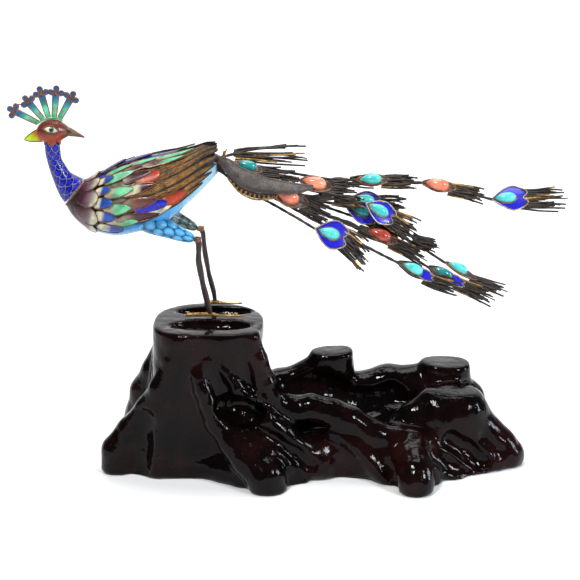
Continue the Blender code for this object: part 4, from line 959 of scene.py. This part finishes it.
def undertail_scroll():
    """Gilt rings with dark eyes below the shield, between two wires, on a thin dark strip."""
    scroll = Piece("undertail_scroll_wires", "undertail_scroll")
    edge = through(SHIELD_LOWER, SHIELD_STEPS, 4)[10:46]
    depth = 2.5 * (0.35 + 0.65 * np.sin(pi * np.linspace(0, 1, len(edge))))
    b = np.linspace(0, 2 * pi, 14, endpoint=False)
    for k in range(1, len(edge) - 1, 3):
        size = depth[k] * 0.5
        centre = edge[k] + (0, -0.35, -0.75 - size)
        ring = centre + np.stack([size * 0.95 * np.cos(b), 0.25 * np.sin(b), size * np.sin(b)], 1)
        scroll.wire(on_bird(ring), RIM_WIRE, GILT, loop=True)
        scroll.wire(on_bird(centre + (ring - centre) * 0.45), FINE_WIRE, WIRE, loop=True)
    for drop, look in ((0.75, WIRE), (1.25, GILT)):
        low = edge - np.stack([0 * depth, 0.4 + 0 * depth, drop + depth * (drop > 1) * 0.85], 1)
        scroll.wire(on_bird(through(low, 40, 2)), STOUT_WIRE, look)
    a = circle(24)
    share = 0.5 - 0.5 * np.cos(a)
    drop = 0.75 + depth[:, None] * 0.8 * share
    back = np.stack(np.broadcast_arrays(0.0, 0.15 + 0.12 * np.sin(a), drop), -1)
    scroll.grid(on_bird(edge[:, None] - back), WIRE)
    scroll.done()


DEEP_BLUE = (0.012, 0.014, 0.46)
ROOT_X = 4.2   # where the stems leave the body
# Each feather: its stem's points, which way it faces, and its plates by the stem point where
# they start: kind, half width, barbs, reach and spread of the fringe, stone and its offset
FEATHERS = {
    "front_heart": (
        [(ROOT_X, -3.0, 58.9), (14.3, -3.2, 51.4), (27.7, -4.0, 44.0), (34.8, -8.0, 40.9),
         (41.8, -12.0, 37.6), (54.1, -12.0, 33.4), (62.9, -13.0, 24.3)],
        (0.1, -0.85, 0.5),
        {4: ("heart", 4.8, 9, 12.0, 0.3, "turquoise", 1.6)}),
    "near_low": (
        [(ROOT_X, -3.0, 60.6), (15.5, -3.2, 53.2), (28.5, -3.6, 46.4), (38.0, -5.6, 41.5),
         (53.7, -8.6, 34.0), (67.5, -9.5, 26.7), (74.7, -10.0, 23.1), (87.9, -10.0, 16.5),
         (100.4, -10.0, 11.9)],
        (0.3, -0.5, 0.8),
        {6: ("blue_cup", 3.6, 7, 12.5, 0.15, "turquoise", 2.2)}),
    "low_coral": (
        [(ROOT_X, -1.2, 60.4), (16.2, -1.2, 52.3), (20.9, -1.2, 50.0), (36.0, -1.6, 43.8),
         (51.8, -3.2, 39.1), (62.1, -4.0, 34.6), (74.5, -4.3, 29.4), (87.0, -4.3, 21.9)],
        (0.2, -0.5, 0.85),
        {4: ("tuft", 2.0, 7, 13.0, 0.4, "", 0), 5: ("cup", 3.2, 7, 13.0, 0.15, "coral", 1.2)}),
    "middle_heart": (
        [(ROOT_X, -1.2, 62.1), (16.2, -1.2, 54.8), (30.0, -0.8, 49.6), (40.0, -1.2, 48.0),
         (51.8, -1.5, 46.6), (62.1, -1.5, 45.0), (73.2, -1.5, 38.7), (82.9, -1.5, 32.1)],
        (0.1, -0.75, 0.65),
        {3: ("tuft", 2.2, 5, 10.0, 0.1, "", 0), 5: ("heart", 4.0, 9, 11.0, 0.3, "turquoise", 1.4)}),
    "under_coral": (
        [(ROOT_X, -1.2, 63.7), (15.0, -3.2, 56.9), (24.9, -4.5, 50.6), (39.1, -4.5, 45.3),
         (48.7, -5.2, 40.6)],
        (0.0, -0.7, 0.7),
        {2: ("cup", 4.0, 9, 10.0, 0.1, "coral", 1.8)}),
    "shaded_heart": (
        [(ROOT_X, 0.6, 60.4), (20.1, 1.0, 52.2), (40.0, 1.5, 45.8), (53.9, 1.5, 43.5),
         (66.3, 1.5, 38.1), (80.9, 1.5, 30.4), (84.0, 1.5, 29.0), (92.3, 1.5, 25.6)],
        (0.0, -0.7, 0.7),
        {3: ("heart", 4.0, 9, 12.0, 0.1, "turquoise", 2.0), 5: ("tuft", 2.2, 6, 8.0, 0.0, "", 0)}),
    "middle_low": (
        [(ROOT_X, 0.6, 58.7), (20.9, 1.0, 50.0), (40.0, 1.0, 42.1), (56.0, 0.0, 35.7),
         (74.1, -1.0, 27.0), (87.5, -2.6, 18.9), (101.0, -2.6, 11.7), (114.9, -2.6, 4.9)],
        (0.25, -0.45, 0.85),
        {5: ("blue_cup", 3.6, 7, 14.5, 0.15, "turquoise", 2.0)}),
    "upper_coral": (
        [(ROOT_X, 0.6, 62.8), (18.1, 0.8, 57.8), (36.0, 1.0, 53.8), (48.3, 1.0, 50.8),
         (55.9, 1.0, 49.4)],
        (0.05, -0.6, 0.8),
        {2: ("cup", 3.8, 8, 11.0, 0.3, "coral", 1.2)}),
    "far_low": (
        [(ROOT_X, 2.4, 59.2), (24.0, 4.0, 50.2), (44.1, 5.5, 42.6), (64.3, 6.0, 35.3),
         (83.4, 5.0, 26.3), (94.9, 4.5, 18.6), (107.7, 4.5, 11.4), (120.9, 4.5, 6.2)],
        (0.3, -0.3, 0.9),
        {5: ("cup", 3.0, 5, 13.0, 0.2, "turquoise", 1.4)}),
    "far_heart": (
        [(ROOT_X, 2.4, 61.0), (24.0, 5.0, 53.5), (44.0, 7.6, 47.1), (56.0, 8.2, 44.5),
         (68.0, 8.2, 42.7), (78.0, 8.2, 41.1)],
        (0.0, -0.7, 0.7),
        {3: ("heart", 3.6, 7, 11.0, 0.3, "turquoise", 1.6)}),
    "top_wires": (
        [(ROOT_X, 2.4, 62.8), (9.1, 3.0, 64.0), (13.0, 3.6, 64.2), (28.0, 5.0, 63.8),
         (38.8, 6.0, 61.6)],
        (0.0, -0.85, 0.5),
        {1: ("tuft", 2.2, 5, 26.0, 0.9, "", 0)}),
    "inner": (
        [(ROOT_X, -2.9, 63.2), (9.6, -3.4, 62.0), (21.0, -3.2, 58.6), (36.0, -3.0, 55.4)],
        (0.0, -0.5, 0.85),
        {1: ("cup", 3.0, 7, 15.0, 0.2, "turquoise", 1.4)}),
    "long": (
        [(ROOT_X, 4.1, 61.3), (24.0, 7.4, 56.8), (47.3, 8.0, 52.6), (59.0, 8.0, 52.2),
         (71.5, 8.0, 52.2), (85.0, 7.6, 51.2), (98.5, 6.6, 49.0), (113.0, 5.5, 44.8),
         (127.0, 5.5, 45.6), (143.5, 5.5, 45.2)],
        (0.0, -0.65, 0.76),
        {2: ("tuft", 1.9, 4, 9.0, 0.6, "", 0), 3: ("cup", 3.0, 7, 12.0, 0.0, "turquoise", 1.2),
         5: ("cup", 3.1, 7, 12.0, 0.0, "coral", 1.6),
         7: ("heart", 4.8, 9, 15.5, 0.12, "turquoise", 1.2)}),
}
# Length, width and rise of a stone, and the stones drawn darker than the rest: painted shade on the
# turquoises that lie in shadow, and a darker red for the low coral
STONES = {"turquoise": (8.4, 4.6, 2.5), "coral": (9.2, 5.4, 2.8)}
STONE_LOOKS = {"turquoise": TURQUOISE, "coral": CORAL}
DARK_STONES = {"low_coral": DEEP_CORAL, "inner": SHADED_TURQUOISE, "shaded_heart": SHADED_TURQUOISE,
               "middle_low": SHADED_TURQUOISE}
# Lengths of a fringe's wires as shares of its reach, taken in turn
WIRE_LENGTHS = np.array([0.92, 1.0, 0.78, 0.97, 0.7, 1.0, 0.86, 0.75, 0.95])
STEM_STEPS = 240


def fringe(piece, stem, number, half, barbs, reach, spread, spot):
    """Tapered wires in layers from a plate's end: each bends from the plate's direction into
    that of the next length of stem, and its end moves outwards by spread."""
    plate_end = spot.length
    ahead = unit(stem[number + 2] - stem[number + 1]) if number + 2 < len(stem) else spot.along
    layers = 4 if barbs > 5 else 3
    s = np.linspace(0, 1, 11)[:, None]
    radius = (0.54 - 0.15 * s[:, 0] ** 1.5) * SHARE
    for layer in range(layers):
        wires = np.linspace(-1, 1, barbs + 2 - layer) * (1 - 0.07 * layer)
        turned = np.roll(np.tile(WIRE_LENGTHS, 2), 2 * layer + number)
        lengths = reach * turned[:len(wires)] * (1 - 0.13 * layer)
        lift = 0.00042 * (layer - 1)
        for k, (w, length) in enumerate(zip(wires, lengths)):
            wave = sin(9 * w + 2.1 * layer + number)
            clump = 0.16 * sin(3 * pi * w + number + layer)
            base = spot.at(plate_end - 0.0030 + 0.0014 * (1 - abs(w)), w * half * 0.86, lift - 0.0009)
            bend = spot.at(plate_end + 0.0006, w * half * (1 + 0.3 * spread), lift - 0.0006 + 0.0001 * wave)
            out = (w + clump) * half * (0.95 + spread) + 0.0004 * wave
            up = lift * 1.3 + 0.0005 * wave
            tip = stem[number + 1] + ahead * length + spot.side * out + spot.normal * up
            path = (1 - s) ** 2 * base + 2 * s * (1 - s) * bend + s ** 2 * tip
            path = path + spot.side * (0.0004 * np.sin(5 * s + 4 * w + 1.7 * layer) * s)
            look = GILT if (k + 2 * layer + number) % 11 == 5 else WIRE
            piece.wire(path, radius, look, spot.normal, strands=2, pitch=0.0024)


def feather_plate(piece, spot, kind, half, facing):
    """What a fringe hangs from: a blue heart, a grey leaf, a leaf with a blue heart at its
    end, or only a narrow tuft."""
    white = (1, 1, 1)
    blue = (*DEEP_BLUE, 0.1)
    if kind == "tuft":
        plate(piece, spot, cup, spot.length * 0.8, half * 0.7, 0.0005, WIRE, white)
    elif kind == "heart":
        plate(piece, spot, heart, spot.length * 0.93, half * 1.22, 0.0008, ENAMEL, blue, SILVER, rise=0.0002)
    elif kind == "blue_cup":
        plate(piece, spot, cup, spot.length, half, 0.0007, SHEET, white, WIRE)
        end = Spot(spot.at(spot.length * 0.42, 0, 0.0003), spot.at(spot.length * 1.02, 0, 0.0003), facing)
        plate(piece, end, heart, end.length, half * 0.8, 0.0006, ENAMEL, blue, SILVER)
    else:
        plate(piece, spot, cup, spot.length, half, 0.0007, SHEET, white, COPPER)


def stone(piece, spot, name, node, kind, start):
    """A polished drop on its plate. The copper bezel round it belongs to the feather."""
    length, width, rise = STONES[kind]
    base = 0.00055
    bezel = drop_outline(spot, start - 0.0002, (length + 0.4) * SHARE, (width + 0.35) * SHARE, base)
    piece.wire(bezel, RIM_WIRE, COPPER, spot.normal, loop=True)
    gem = Piece(node + "_polished", node)
    drop = pebble(spot, start, length * SHARE, width * SHARE, rise * SHARE, base, 32, 26)
    # Stones listed in DARK_STONES take a darker look, which on the turquoises is painted shade
    gem.grid(drop, DARK_STONES.get(name, STONE_LOOKS[kind]))
    gem.done()


def root_sprigs(piece):
    """Short gilt wires that stand up where the stems meet the body."""
    for k in range(6):
        root = np.array([3.9, -3.4 + 1.3 * k, 62.0])
        tip = root + (2.6 + 0.5 * sin(2 * k), 0.5 * (k - 2.5), 3.6 + 0.9 * cos(3 * k))
        sprig = through(on_bird([root, (root + tip) / 2 + (0.5, 0, -0.2), tip]), 12, 2)
        piece.wire(sprig, np.linspace(0.00055, 0.00025, 12), GILT)


def feather(name, stem, facing, plates):
    """A twisted stem that thins along its last run, with a plate, a fringe and often a stone
    at each of the stem points that plates names."""
    piece = Piece("feather_%s_wires" % name, "feather_" + name)
    points = on_bird(stem)
    runs = np.linalg.norm(np.diff(points, axis=0), axis=1)
    thinning = ease(np.linspace(0, 1, STEM_STEPS), 1 - runs[-1] / np.sum(runs), 1)
    path = through(points, STEM_STEPS, 6)
    piece.wire(path, 0.00062 - 0.00034 * thinning, WIRE, facing, 8, strands=2, pitch=0.0042)
    with_stones = [number for number in sorted(plates) if plates[number][5]]
    for number, (kind, half, barbs, reach, spread, stone_kind, offset) in plates.items():
        spot = Spot(points[number], points[number + 1], facing)
        feather_plate(piece, spot, kind, half * SHARE, facing)
        fringe(piece, points, number, half * SHARE, barbs, reach * SHARE, spread, spot)
        if stone_kind:
            node = "%s_%s" % (stone_kind, name)
            if len(with_stones) > 1:
                node += "_%d" % (1 + with_stones.index(number))
            stone(piece, spot, name, node, stone_kind, offset * SHARE)
    if name == "top_wires":
        root_sprigs(piece)
    piece.done()


# The carved stand, in millimetres from the middle of its underside

MILLIMETRE = 0.001
STUMP_TOP = 63
# Level rings of the stump, as (x, y, z, half width, half depth)
TRUNK = np.array([
    (-46, 1, -9, 30.5, 18.5), (-46, 1, 8, 30.5, 18.8), (-44.5, 0.3, 20, 27, 19.4),
    (-42.8, -0.5, 35, 22, 19.8), (-41.4, -1, 50, 21.6, 20.2), (-40.8, -1.2, 58, 22.0, 20.8),
    (-40.6, -1.2, 64.6, 22.2, 20.9)])
# The sawn stubs: rings as (x, y, z, half width), the cut's height and its slope
STUBS = [
    (np.array([(9.5, 13.5, 2, 13), (9.5, 13.5, 20, 11), (9.5, 13.5, 34, 9.2), (9.5, 13.5, 45.5, 8.6)]),
     44.0, 0.05),
    (np.array([(57, 16, 4, 13), (57, 16, 20, 11.5), (57, 16.5, 30, 10.5), (57, 16.8, 39.5, 10.0)]),
     37.8, -0.035)]
STUB_DEPTH = 0.78   # half depth of a stub as a share of its half width
# Roots, ridges and swellings, as (x, y, z, radius) along their middles
ROOTS = [
    [(-50.5, -18.5, 60, 2.6), (-54, -18, 50, 3.1), (-59.5, -16.3, 39, 3.9), (-64.5, -13, 29, 5.1),
     (-71.5, -9.5, 18, 6.2), (-77.8, -8.2, 8.5, 6.7), (-78.6, -8.2, -4, 7)],
    [(-58, 4, 50, 5), (-62, 6, 38, 6.5), (-67, 8, 28, 6.8), (-69.5, 10, 18, 6.5), (-71, 12, 8, 8),
     (-71, 13, -3, 8)],
    [(-57, -13.2, 30, 5), (-60, -13.2, 18, 5.6), (-61, -13, 8, 5.6), (-61, -12.6, -3, 5.6)],
    [(-41, -19.8, 51, 2.4), (-44, -20.4, 45.5, 3.0), (-42.5, -20.8, 40, 3.4), (-39.5, -20.8, 33, 3.7),
     (-37, -20.6, 25.5, 4.4), (-31, -21, 18, 5.6), (-24, -24, 11, 6.8), (-18, -27, 6, 7.6),
     (-16, -27.2, -4, 7.8)],
    [(-40, -19.8, 51.5, 2.2), (-35, -20.2, 46, 2.6), (-29.8, -19.8, 40, 3.0), (-24, -18.8, 33.5, 3.7),
     (-18.5, -17.8, 27.5, 4.3), (-12, -17.3, 20.5, 4.9), (-5.5, -17, 13.5, 5.4), (1.5, -16, 6, 5.8)],
    [(-25, -20.5, 20.5, 3.4), (-16, -21.5, 14.5, 4.2), (-9, -20.5, 8, 4.8), (-5, -19.5, -1, 5)],
    [(-52, -11.5, 5, 6.8), (-42, -11, 5, 7.2), (-33, -15.5, 4, 7.4), (-26, -20, 3, 7.5)],
    [(-23, -17, 60, 3.4), (-20.8, -16.5, 51, 3.8), (-18, -15, 40, 4.8), (-14, -11.5, 30.5, 5),
     (-6, -10.5, 27, 5.5), (1, -11, 28.6, 5.4), (8, -12, 27, 5.6), (16, -13, 23.6, 5.7),
     (26, -14, 17.6, 5.5), (35, -13.5, 15.5, 5.4), (43, -13, 13.5, 5.2), (51, -12.5, 8.5, 5)],
    [(-9, -14, 9, 9.5), (4, -9, 6, 11), (18, -6.5, 5, 11), (28, -9, 4.5, 10.5), (36, -13, 4, 10),
     (43, -12, 5, 10.5), (55, -8.5, 4.5, 10.5), (67, -6, 3, 9.5)],
    [(24, -12, 8, 8), (32, -17, 5, 7.5), (36, -22, 3, 6)],
    [(10, -14.5, 18.5, 3.4), (18, -16.3, 15, 4.0), (26, -18, 9.5, 4.4), (31, -20, 3, 4.4)],
    [(34, -13.5, 14, 5.4), (36.8, -19, 9.5, 5.6), (39, -25.5, 6, 6)],
    [(41.5, -14, 13.5, 6.2), (42, -21, 10.5, 6.3), (42, -27, 7.2, 6.6), (42, -29.2, 4, 6.8),
     (42, -29, -4, 7)],
    [(47, -13.5, 11.5, 5.2), (48, -18, 6.5, 5.2), (48, -21, -2, 5)],
    [(48, -12, 11, 5.5), (53, -13, 5, 6), (59, -13.5, 1, 6.5)],
    [(54, -11.5, 16, 3.2), (62, -10, 12, 3.6), (70, -7.5, 7.5, 4.6), (75, -5.5, 2, 5.4)],
    [(-20, 9, 26, 9), (-12, 12, 27, 8.5), (-4, 14, 27, 8), (4, 15, 28, 8)],
    [(-8, 13, 29, 6.5), (-1, 13.5, 32.5, 6.2), (5, 13.5, 36.5, 5.6)],
    [(16, 15, 24, 8), (24, 16, 25, 8), (33, 17, 27.8, 8.2), (42, 17, 27, 8.2), (50, 18, 26.5, 9)],
    [(-15, 12, 10, 14), (5, 14, 9, 15), (25, 15, 9, 15), (45, 16, 9, 15), (60, 13, 8, 13)],
    [(60, 19, 19, 8.5), (66, 20, 20, 7.6), (67.5, 20.5, 16, 7.2)],
    [(-40, 14, 20, 10), (-38, 24, 8, 9), (-37, 26.5, 2, 8)],
    [(-10, 20, 10, 9), (-6, 26, 4, 8)],
    [(25, 22, 8, 9), (28, 26.5, 3, 7)],
    [(52, 24, 8, 9), (56, 27, 3, 7)],
    [(-60, 14, 12, 9), (-64, 20, 4, 8)],
]
# The mound at the tail end, cut flat on top
MOUND = [
    [(47, -1, 17, 10), (54, -1, 21, 11.8), (61, 0, 21.8, 11.8), (69, 0, 13, 9.5), (76.6, -1, 7, 8.5),
     (81.2, -1, 3.5, 7.7)],
    [(34, -6, 16, 5), (42, -4.5, 22.5, 5), (50, -3, 27, 5.5), (60, -2, 27.5, 5.5)],
]
# Hollows carved between the roots, as (x, y, z, radius) along their middles
HOLLOWS = [
    [(-34, -21.2, 32.7, 4.4), (-28, -19.0, 31.5, 5.6), (-22, -19.4, 29.6, 4.6)],
    [(-37.5, -24.2, 46.5, 3.4), (-34.5, -23.8, 40.5, 3.8)],
    [(-51, -26.3, 51, 4.6), (-52, -25.9, 38, 5.8), (-50.5, -26.6, 25, 6.8), (-47, -27.6, 15, 7.2)],
    [(-29, -25.5, 48, 4), (-25.5, -24.5, 41, 3.6)],
    [(-67, -20, 26, 5), (-70, -19, 14, 6), (-71, -20, 4, 7)],
    [(-22, -25, 25, 2.0), (-14, -23.7, 19.5, 2.2), (-6, -22.9, 13.5, 2.2), (1, -22, 7, 2.4)],
    [(-3, -26, 12, 3.4), (-3, -27, 2, 4.5)],
    [(-9, 1.5, 33.5, 6), (2, 2, 33, 6), (12, 1.5, 29, 7), (24, 2, 26, 7.5), (34, 5, 28, 6)],
    [(6, -21.5, 21, 3.6), (13, -22, 9, 4.2), (13, -22, 0, 5.5)],
    [(19.5, -22.2, 18, 2.0), (26.5, -23.2, 13, 2.3), (31.2, -24.8, 8, 2.5), (33.2, -26.5, 2.5, 2.8)],
    [(52, -21, 13, 4.6), (58, -20.5, 7, 4), (66, -19.5, 3, 5)],
    [(57, -14.5, 15.5, 3.6), (64, -13.5, 10.5, 3.8), (70, -13.5, 5, 4)],
    [(72, -12, 15, 3.5), (78, -12, 9, 3.5)],
    [(66, 9, 27, 4.6), (74, 9, 16, 5), (82, 10, 9, 5)],
]
# Lens-shaped pockets in the stump's top, as their middle and two half widths
POCKETS = [((-38.5, 8.6), 15.5, 5.4), ((-39.5, -9.0), 16.5, 6.0)]


def gathered_distance(points, chains, soft):
    """Distance to a union of tapered rods that melt into each other: -soft log sum exp(-d / soft)."""
    total = np.zeros(len(points))
    for chain in chains:
        chain = np.asarray(chain, float)
        for a, b in zip(chain, chain[1:]):
            run = b[:3] - a[:3]
            share = np.clip((points - a[:3]) @ run / (run @ run), 0, 1)
            away = points - a[:3] - share[:, None] * run
            distance = np.sqrt(np.einsum("ij,ij->i", away, away)) - (a[3] + (b[3] - a[3]) * share)
            total += np.exp(-np.clip(distance, -40, 60) / soft)
    return -soft * np.log(total + 1e-30)


def soft_max(a, b, soft):
    """The larger of two fields, with a fillet where they cross."""
    return np.logaddexp(a / soft, b / soft) * soft


def soft_min(a, b, soft):
    return -np.logaddexp(-a / soft, -b / soft) * soft


def column_distance(points, rings, depth, squareness):
    """Distance to a column of level rings of a rounded-square outline."""
    z = points[:, 2]
    x, y = (np.interp(z, rings[:, 2], rings[:, k]) for k in (0, 1))
    half_x = np.interp(z, rings[:, 2], rings[:, 3])
    half_y = half_x * depth if rings.shape[1] == 4 else np.interp(z, rings[:, 2], rings[:, 4])
    along, across = np.abs(points[:, 0] - x) / half_x, (points[:, 1] - y) / half_y
    power = np.where(across < 0, squareness[0], squareness[1])
    size = (along ** power + np.abs(across) ** power + 1e-9) ** (1 / power)
    return (size - 1) * np.minimum(half_x, half_y)


def ripples(points, length, seed):
    """A slow uneven swell: a sum of six sines in different directions."""
    total = 0
    for k in range(6):
        way = unit([sin(seed + 1.7 * k), cos(2.3 * seed + 1.1 * k), sin(0.7 * seed + 2.9 * k + 1)])
        waves = 2 * pi / (length * (0.8 + 0.13 * k))
        total = total + np.sin(points @ way * waves + 1.3 * k + seed)
    return total / 6


def wood_field(points):
    """Below 0 inside the carved wood, above 0 outside."""
    z = points[:, 2]
    trunk = soft_max(column_distance(points, TRUNK, 1, (3.2, 2.2)), z - STUMP_TOP, 0.7)
    field = soft_min(gathered_distance(points, ROOTS, 0.75), trunk, 0.8)
    field = soft_max(field, z - STUMP_TOP, 0.25)
    for rings, height, slope in STUBS:
        stub = column_distance(points, rings, STUB_DEPTH, (2.3, 2.3))
        top = z - height - slope * (points[:, 0] - rings[-1][0])
        field = soft_min(field, soft_max(stub, top, 0.6), 1.6)
    mound = soft_max(gathered_distance(points, MOUND, 1.0), z - 32.4 + 0.087 * (points[:, 0] - 59), 0.6)
    field = soft_min(field, mound, 1.4)
    field = soft_max(field, -gathered_distance(points, HOLLOWS, 0.9), 0.8)
    for (x, y), half_x, half_y in POCKETS:
        across = np.abs(points[:, 1] - y) / half_y
        lens = ((np.abs(points[:, 0] - x) / half_x) ** 2.2 + across ** 1.7 + 1e-9) ** 0.5
        bowl = np.maximum((lens - 1) * half_y, (58.2 - z) + 0.05 * (lens * half_y) ** 2)
        field = soft_max(field, -bowl, 0.35)
    low = 1 - ease(z, 60, STUMP_TOP)
    swell = ripples(points * (1, 1, 0.45), 13, 1.0) + 0.3 * ripples(points, 7, 2.0)
    return soft_max(field + low * 0.4 * swell, -z, 0.2)


def carve(places, rounds):
    """Moves each place along the wood field's slope until the field is 0 there."""
    probe = 0.05
    for _ in range(rounds):
        here = wood_field(places)
        slope = np.stack([wood_field(places + probe * np.eye(3)[k]) - here for k in range(3)], 1) / probe
        size = np.maximum(np.einsum("ij,ij->i", slope, slope), 0.25)
        places -= np.clip(here, -1.5, 1.5)[:, None] * slope / size[:, None] * 0.85
        places[:, 2] = np.maximum(places[:, 2], 0)
    low, high = np.array(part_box("stand")) / MILLIMETRE
    return np.clip(places, low, high)


def stand():
    """The stand's own solid, remeshed finely and carved to the wood field."""
    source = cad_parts["stand"]
    mesh = source.data.copy()
    gathered = bmesh.new()
    gathered.from_mesh(mesh)
    bmesh.ops.remove_doubles(gathered, verts=gathered.verts, dist=1e-6)
    gathered.to_mesh(mesh)
    gathered.free()
    block = bpy.data.objects.new("stand_carved", mesh)
    bpy.context.collection.objects.link(block)
    remesh = block.modifiers.new("fine", 'REMESH')
    remesh.mode = 'VOXEL'
    remesh.voxel_size = 0.00082
    bpy.context.view_layer.update()
    fine = bpy.data.meshes.new_from_object(block.evaluated_get(bpy.context.evaluated_depsgraph_get()))
    block.modifiers.clear()
    block.data = fine
    places = np.empty(len(fine.vertices) * 3)
    fine.vertices.foreach_get("co", places)
    places = carve(places.reshape(-1, 3) / MILLIMETRE, 6)
    fine.vertices.foreach_set("co", (places * MILLIMETRE).ravel())
    fine.update()
    fine.materials.clear()
    fine.materials.append(LACQUER)
    fine.shade_smooth()
    smooth = block.modifiers.new("polish", 'SMOOTH')
    smooth.factor = 0.5
    smooth.iterations = 2
    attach(block, "root")
    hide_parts("stand")


# The studio

def studio():
    """A pale sweep: flat under the figurine, and rising in a curve far behind it."""
    flat_end, gap = 1.2, 0.0002
    run = np.linspace(-1.6, 3.0, 140)[:, None]
    wide = np.linspace(-2.5, 2.5, 20)[None]
    past = np.clip(run - flat_end, 0, None)
    back = np.minimum(run, flat_end) + 0.25 * (1 - np.exp(-past * 4))
    up = past ** 2 / (past + 0.25) * 1.2 - gap
    points = np.stack(np.broadcast_arrays(wide, back, up), -1)
    mesh = bpy.data.meshes.new("pale_sweep")
    rows, columns = points.shape[:2]
    i, j = np.meshgrid(np.arange(rows - 1), np.arange(columns - 1), indexing="ij")
    corner = (i * columns + j).ravel()
    faces = np.stack([corner, corner + 1, corner + columns + 1, corner + columns], 1)
    mesh.from_pydata(points.reshape(-1, 3).tolist(), [], faces.tolist())
    mesh.shade_smooth()
    mesh.materials.append(studio_finish("pale_paper", (0.86, 0.86, 0.87)))
    sweep = bpy.data.objects.new("pale_sweep", mesh)
    bpy.context.collection.objects.link(sweep)


def soft_light(name, place, aim, size, power, tint=(1, 1, 1)):
    """A rectangular light that faces its aim."""
    light = bpy.data.lights.new(name, 'AREA')
    light.shape = 'RECTANGLE'
    light.size, light.size_y = size
    light.energy = power
    light.color = tint
    lamp = bpy.data.objects.new(name, light)
    lamp.location = place
    lamp.rotation_euler = (Vector(place) - Vector(aim)).to_track_quat('Z', 'Y').to_euler()
    bpy.context.collection.objects.link(lamp)


def camera():
    """Where the photograph was taken from, tilted down at the figurine's middle."""
    tilt, distance = radians(18), 0.65
    lens = bpy.data.cameras.new("camera")
    lens.lens = 100.9
    lens.sensor_width = 36
    lens.clip_start = 0.01
    eye = bpy.data.objects.new("camera", lens)
    aim = Vector((-0.008, 0, 0.0744))
    eye.location = aim + distance * Vector((0, -cos(tilt), sin(tilt)))
    eye.rotation_euler = (eye.location - aim).to_track_quat('Z', 'Y').to_euler()
    bpy.context.collection.objects.link(eye)
    bpy.context.scene.camera = eye


def light_room():
    """Dim air, two windows in front, one at the tail's side, a panel above and one for the sweep."""
    world = bpy.data.worlds.new("room")
    world.use_nodes = True
    air = world.node_tree.nodes["Background"]
    air.inputs["Color"].default_value = (0.93, 0.96, 1, 1)
    air.inputs["Strength"].default_value = 0.11
    bpy.context.scene.world = world
    aim = (0, 0, 0.06)
    soft_light("key_window", (-0.30, -0.50, 0.80), aim, (0.16, 0.12), 6.9, (1, 0.99, 0.97))
    soft_light("fill_window", (0.60, -0.50, 0.50), aim, (0.08, 0.24), 5.2, (0.90, 0.95, 1))
    soft_light("side_window", (0.80, -0.05, 0.22), (0, 0, 0.04), (0.10, 0.34), 3.0, (0.80, 0.89, 1))
    soft_light("top_panel", (0.05, 0.20, 0.95), aim, (0.5, 0.4), 4.2)
    soft_light("backdrop_wash", (0, 0.75, 1.2), (0, 1.6, 0.25), (1.6, 0.6), 20)
    bpy.context.scene.view_settings.view_transform = 'Standard'


camera()
light_room()
studio()
stand()
body()
neck()
head()
beak()
lappet()
crest()
for wing_name, wing_side in (("wing_left", 1), ("wing_right", -1)):
    wing(wing_name, wing_side)
limbs()
shield()
undertail_scroll()
for feather_name, (stem, facing, plates) in FEATHERS.items():
    feather(feather_name, stem, facing, plates)
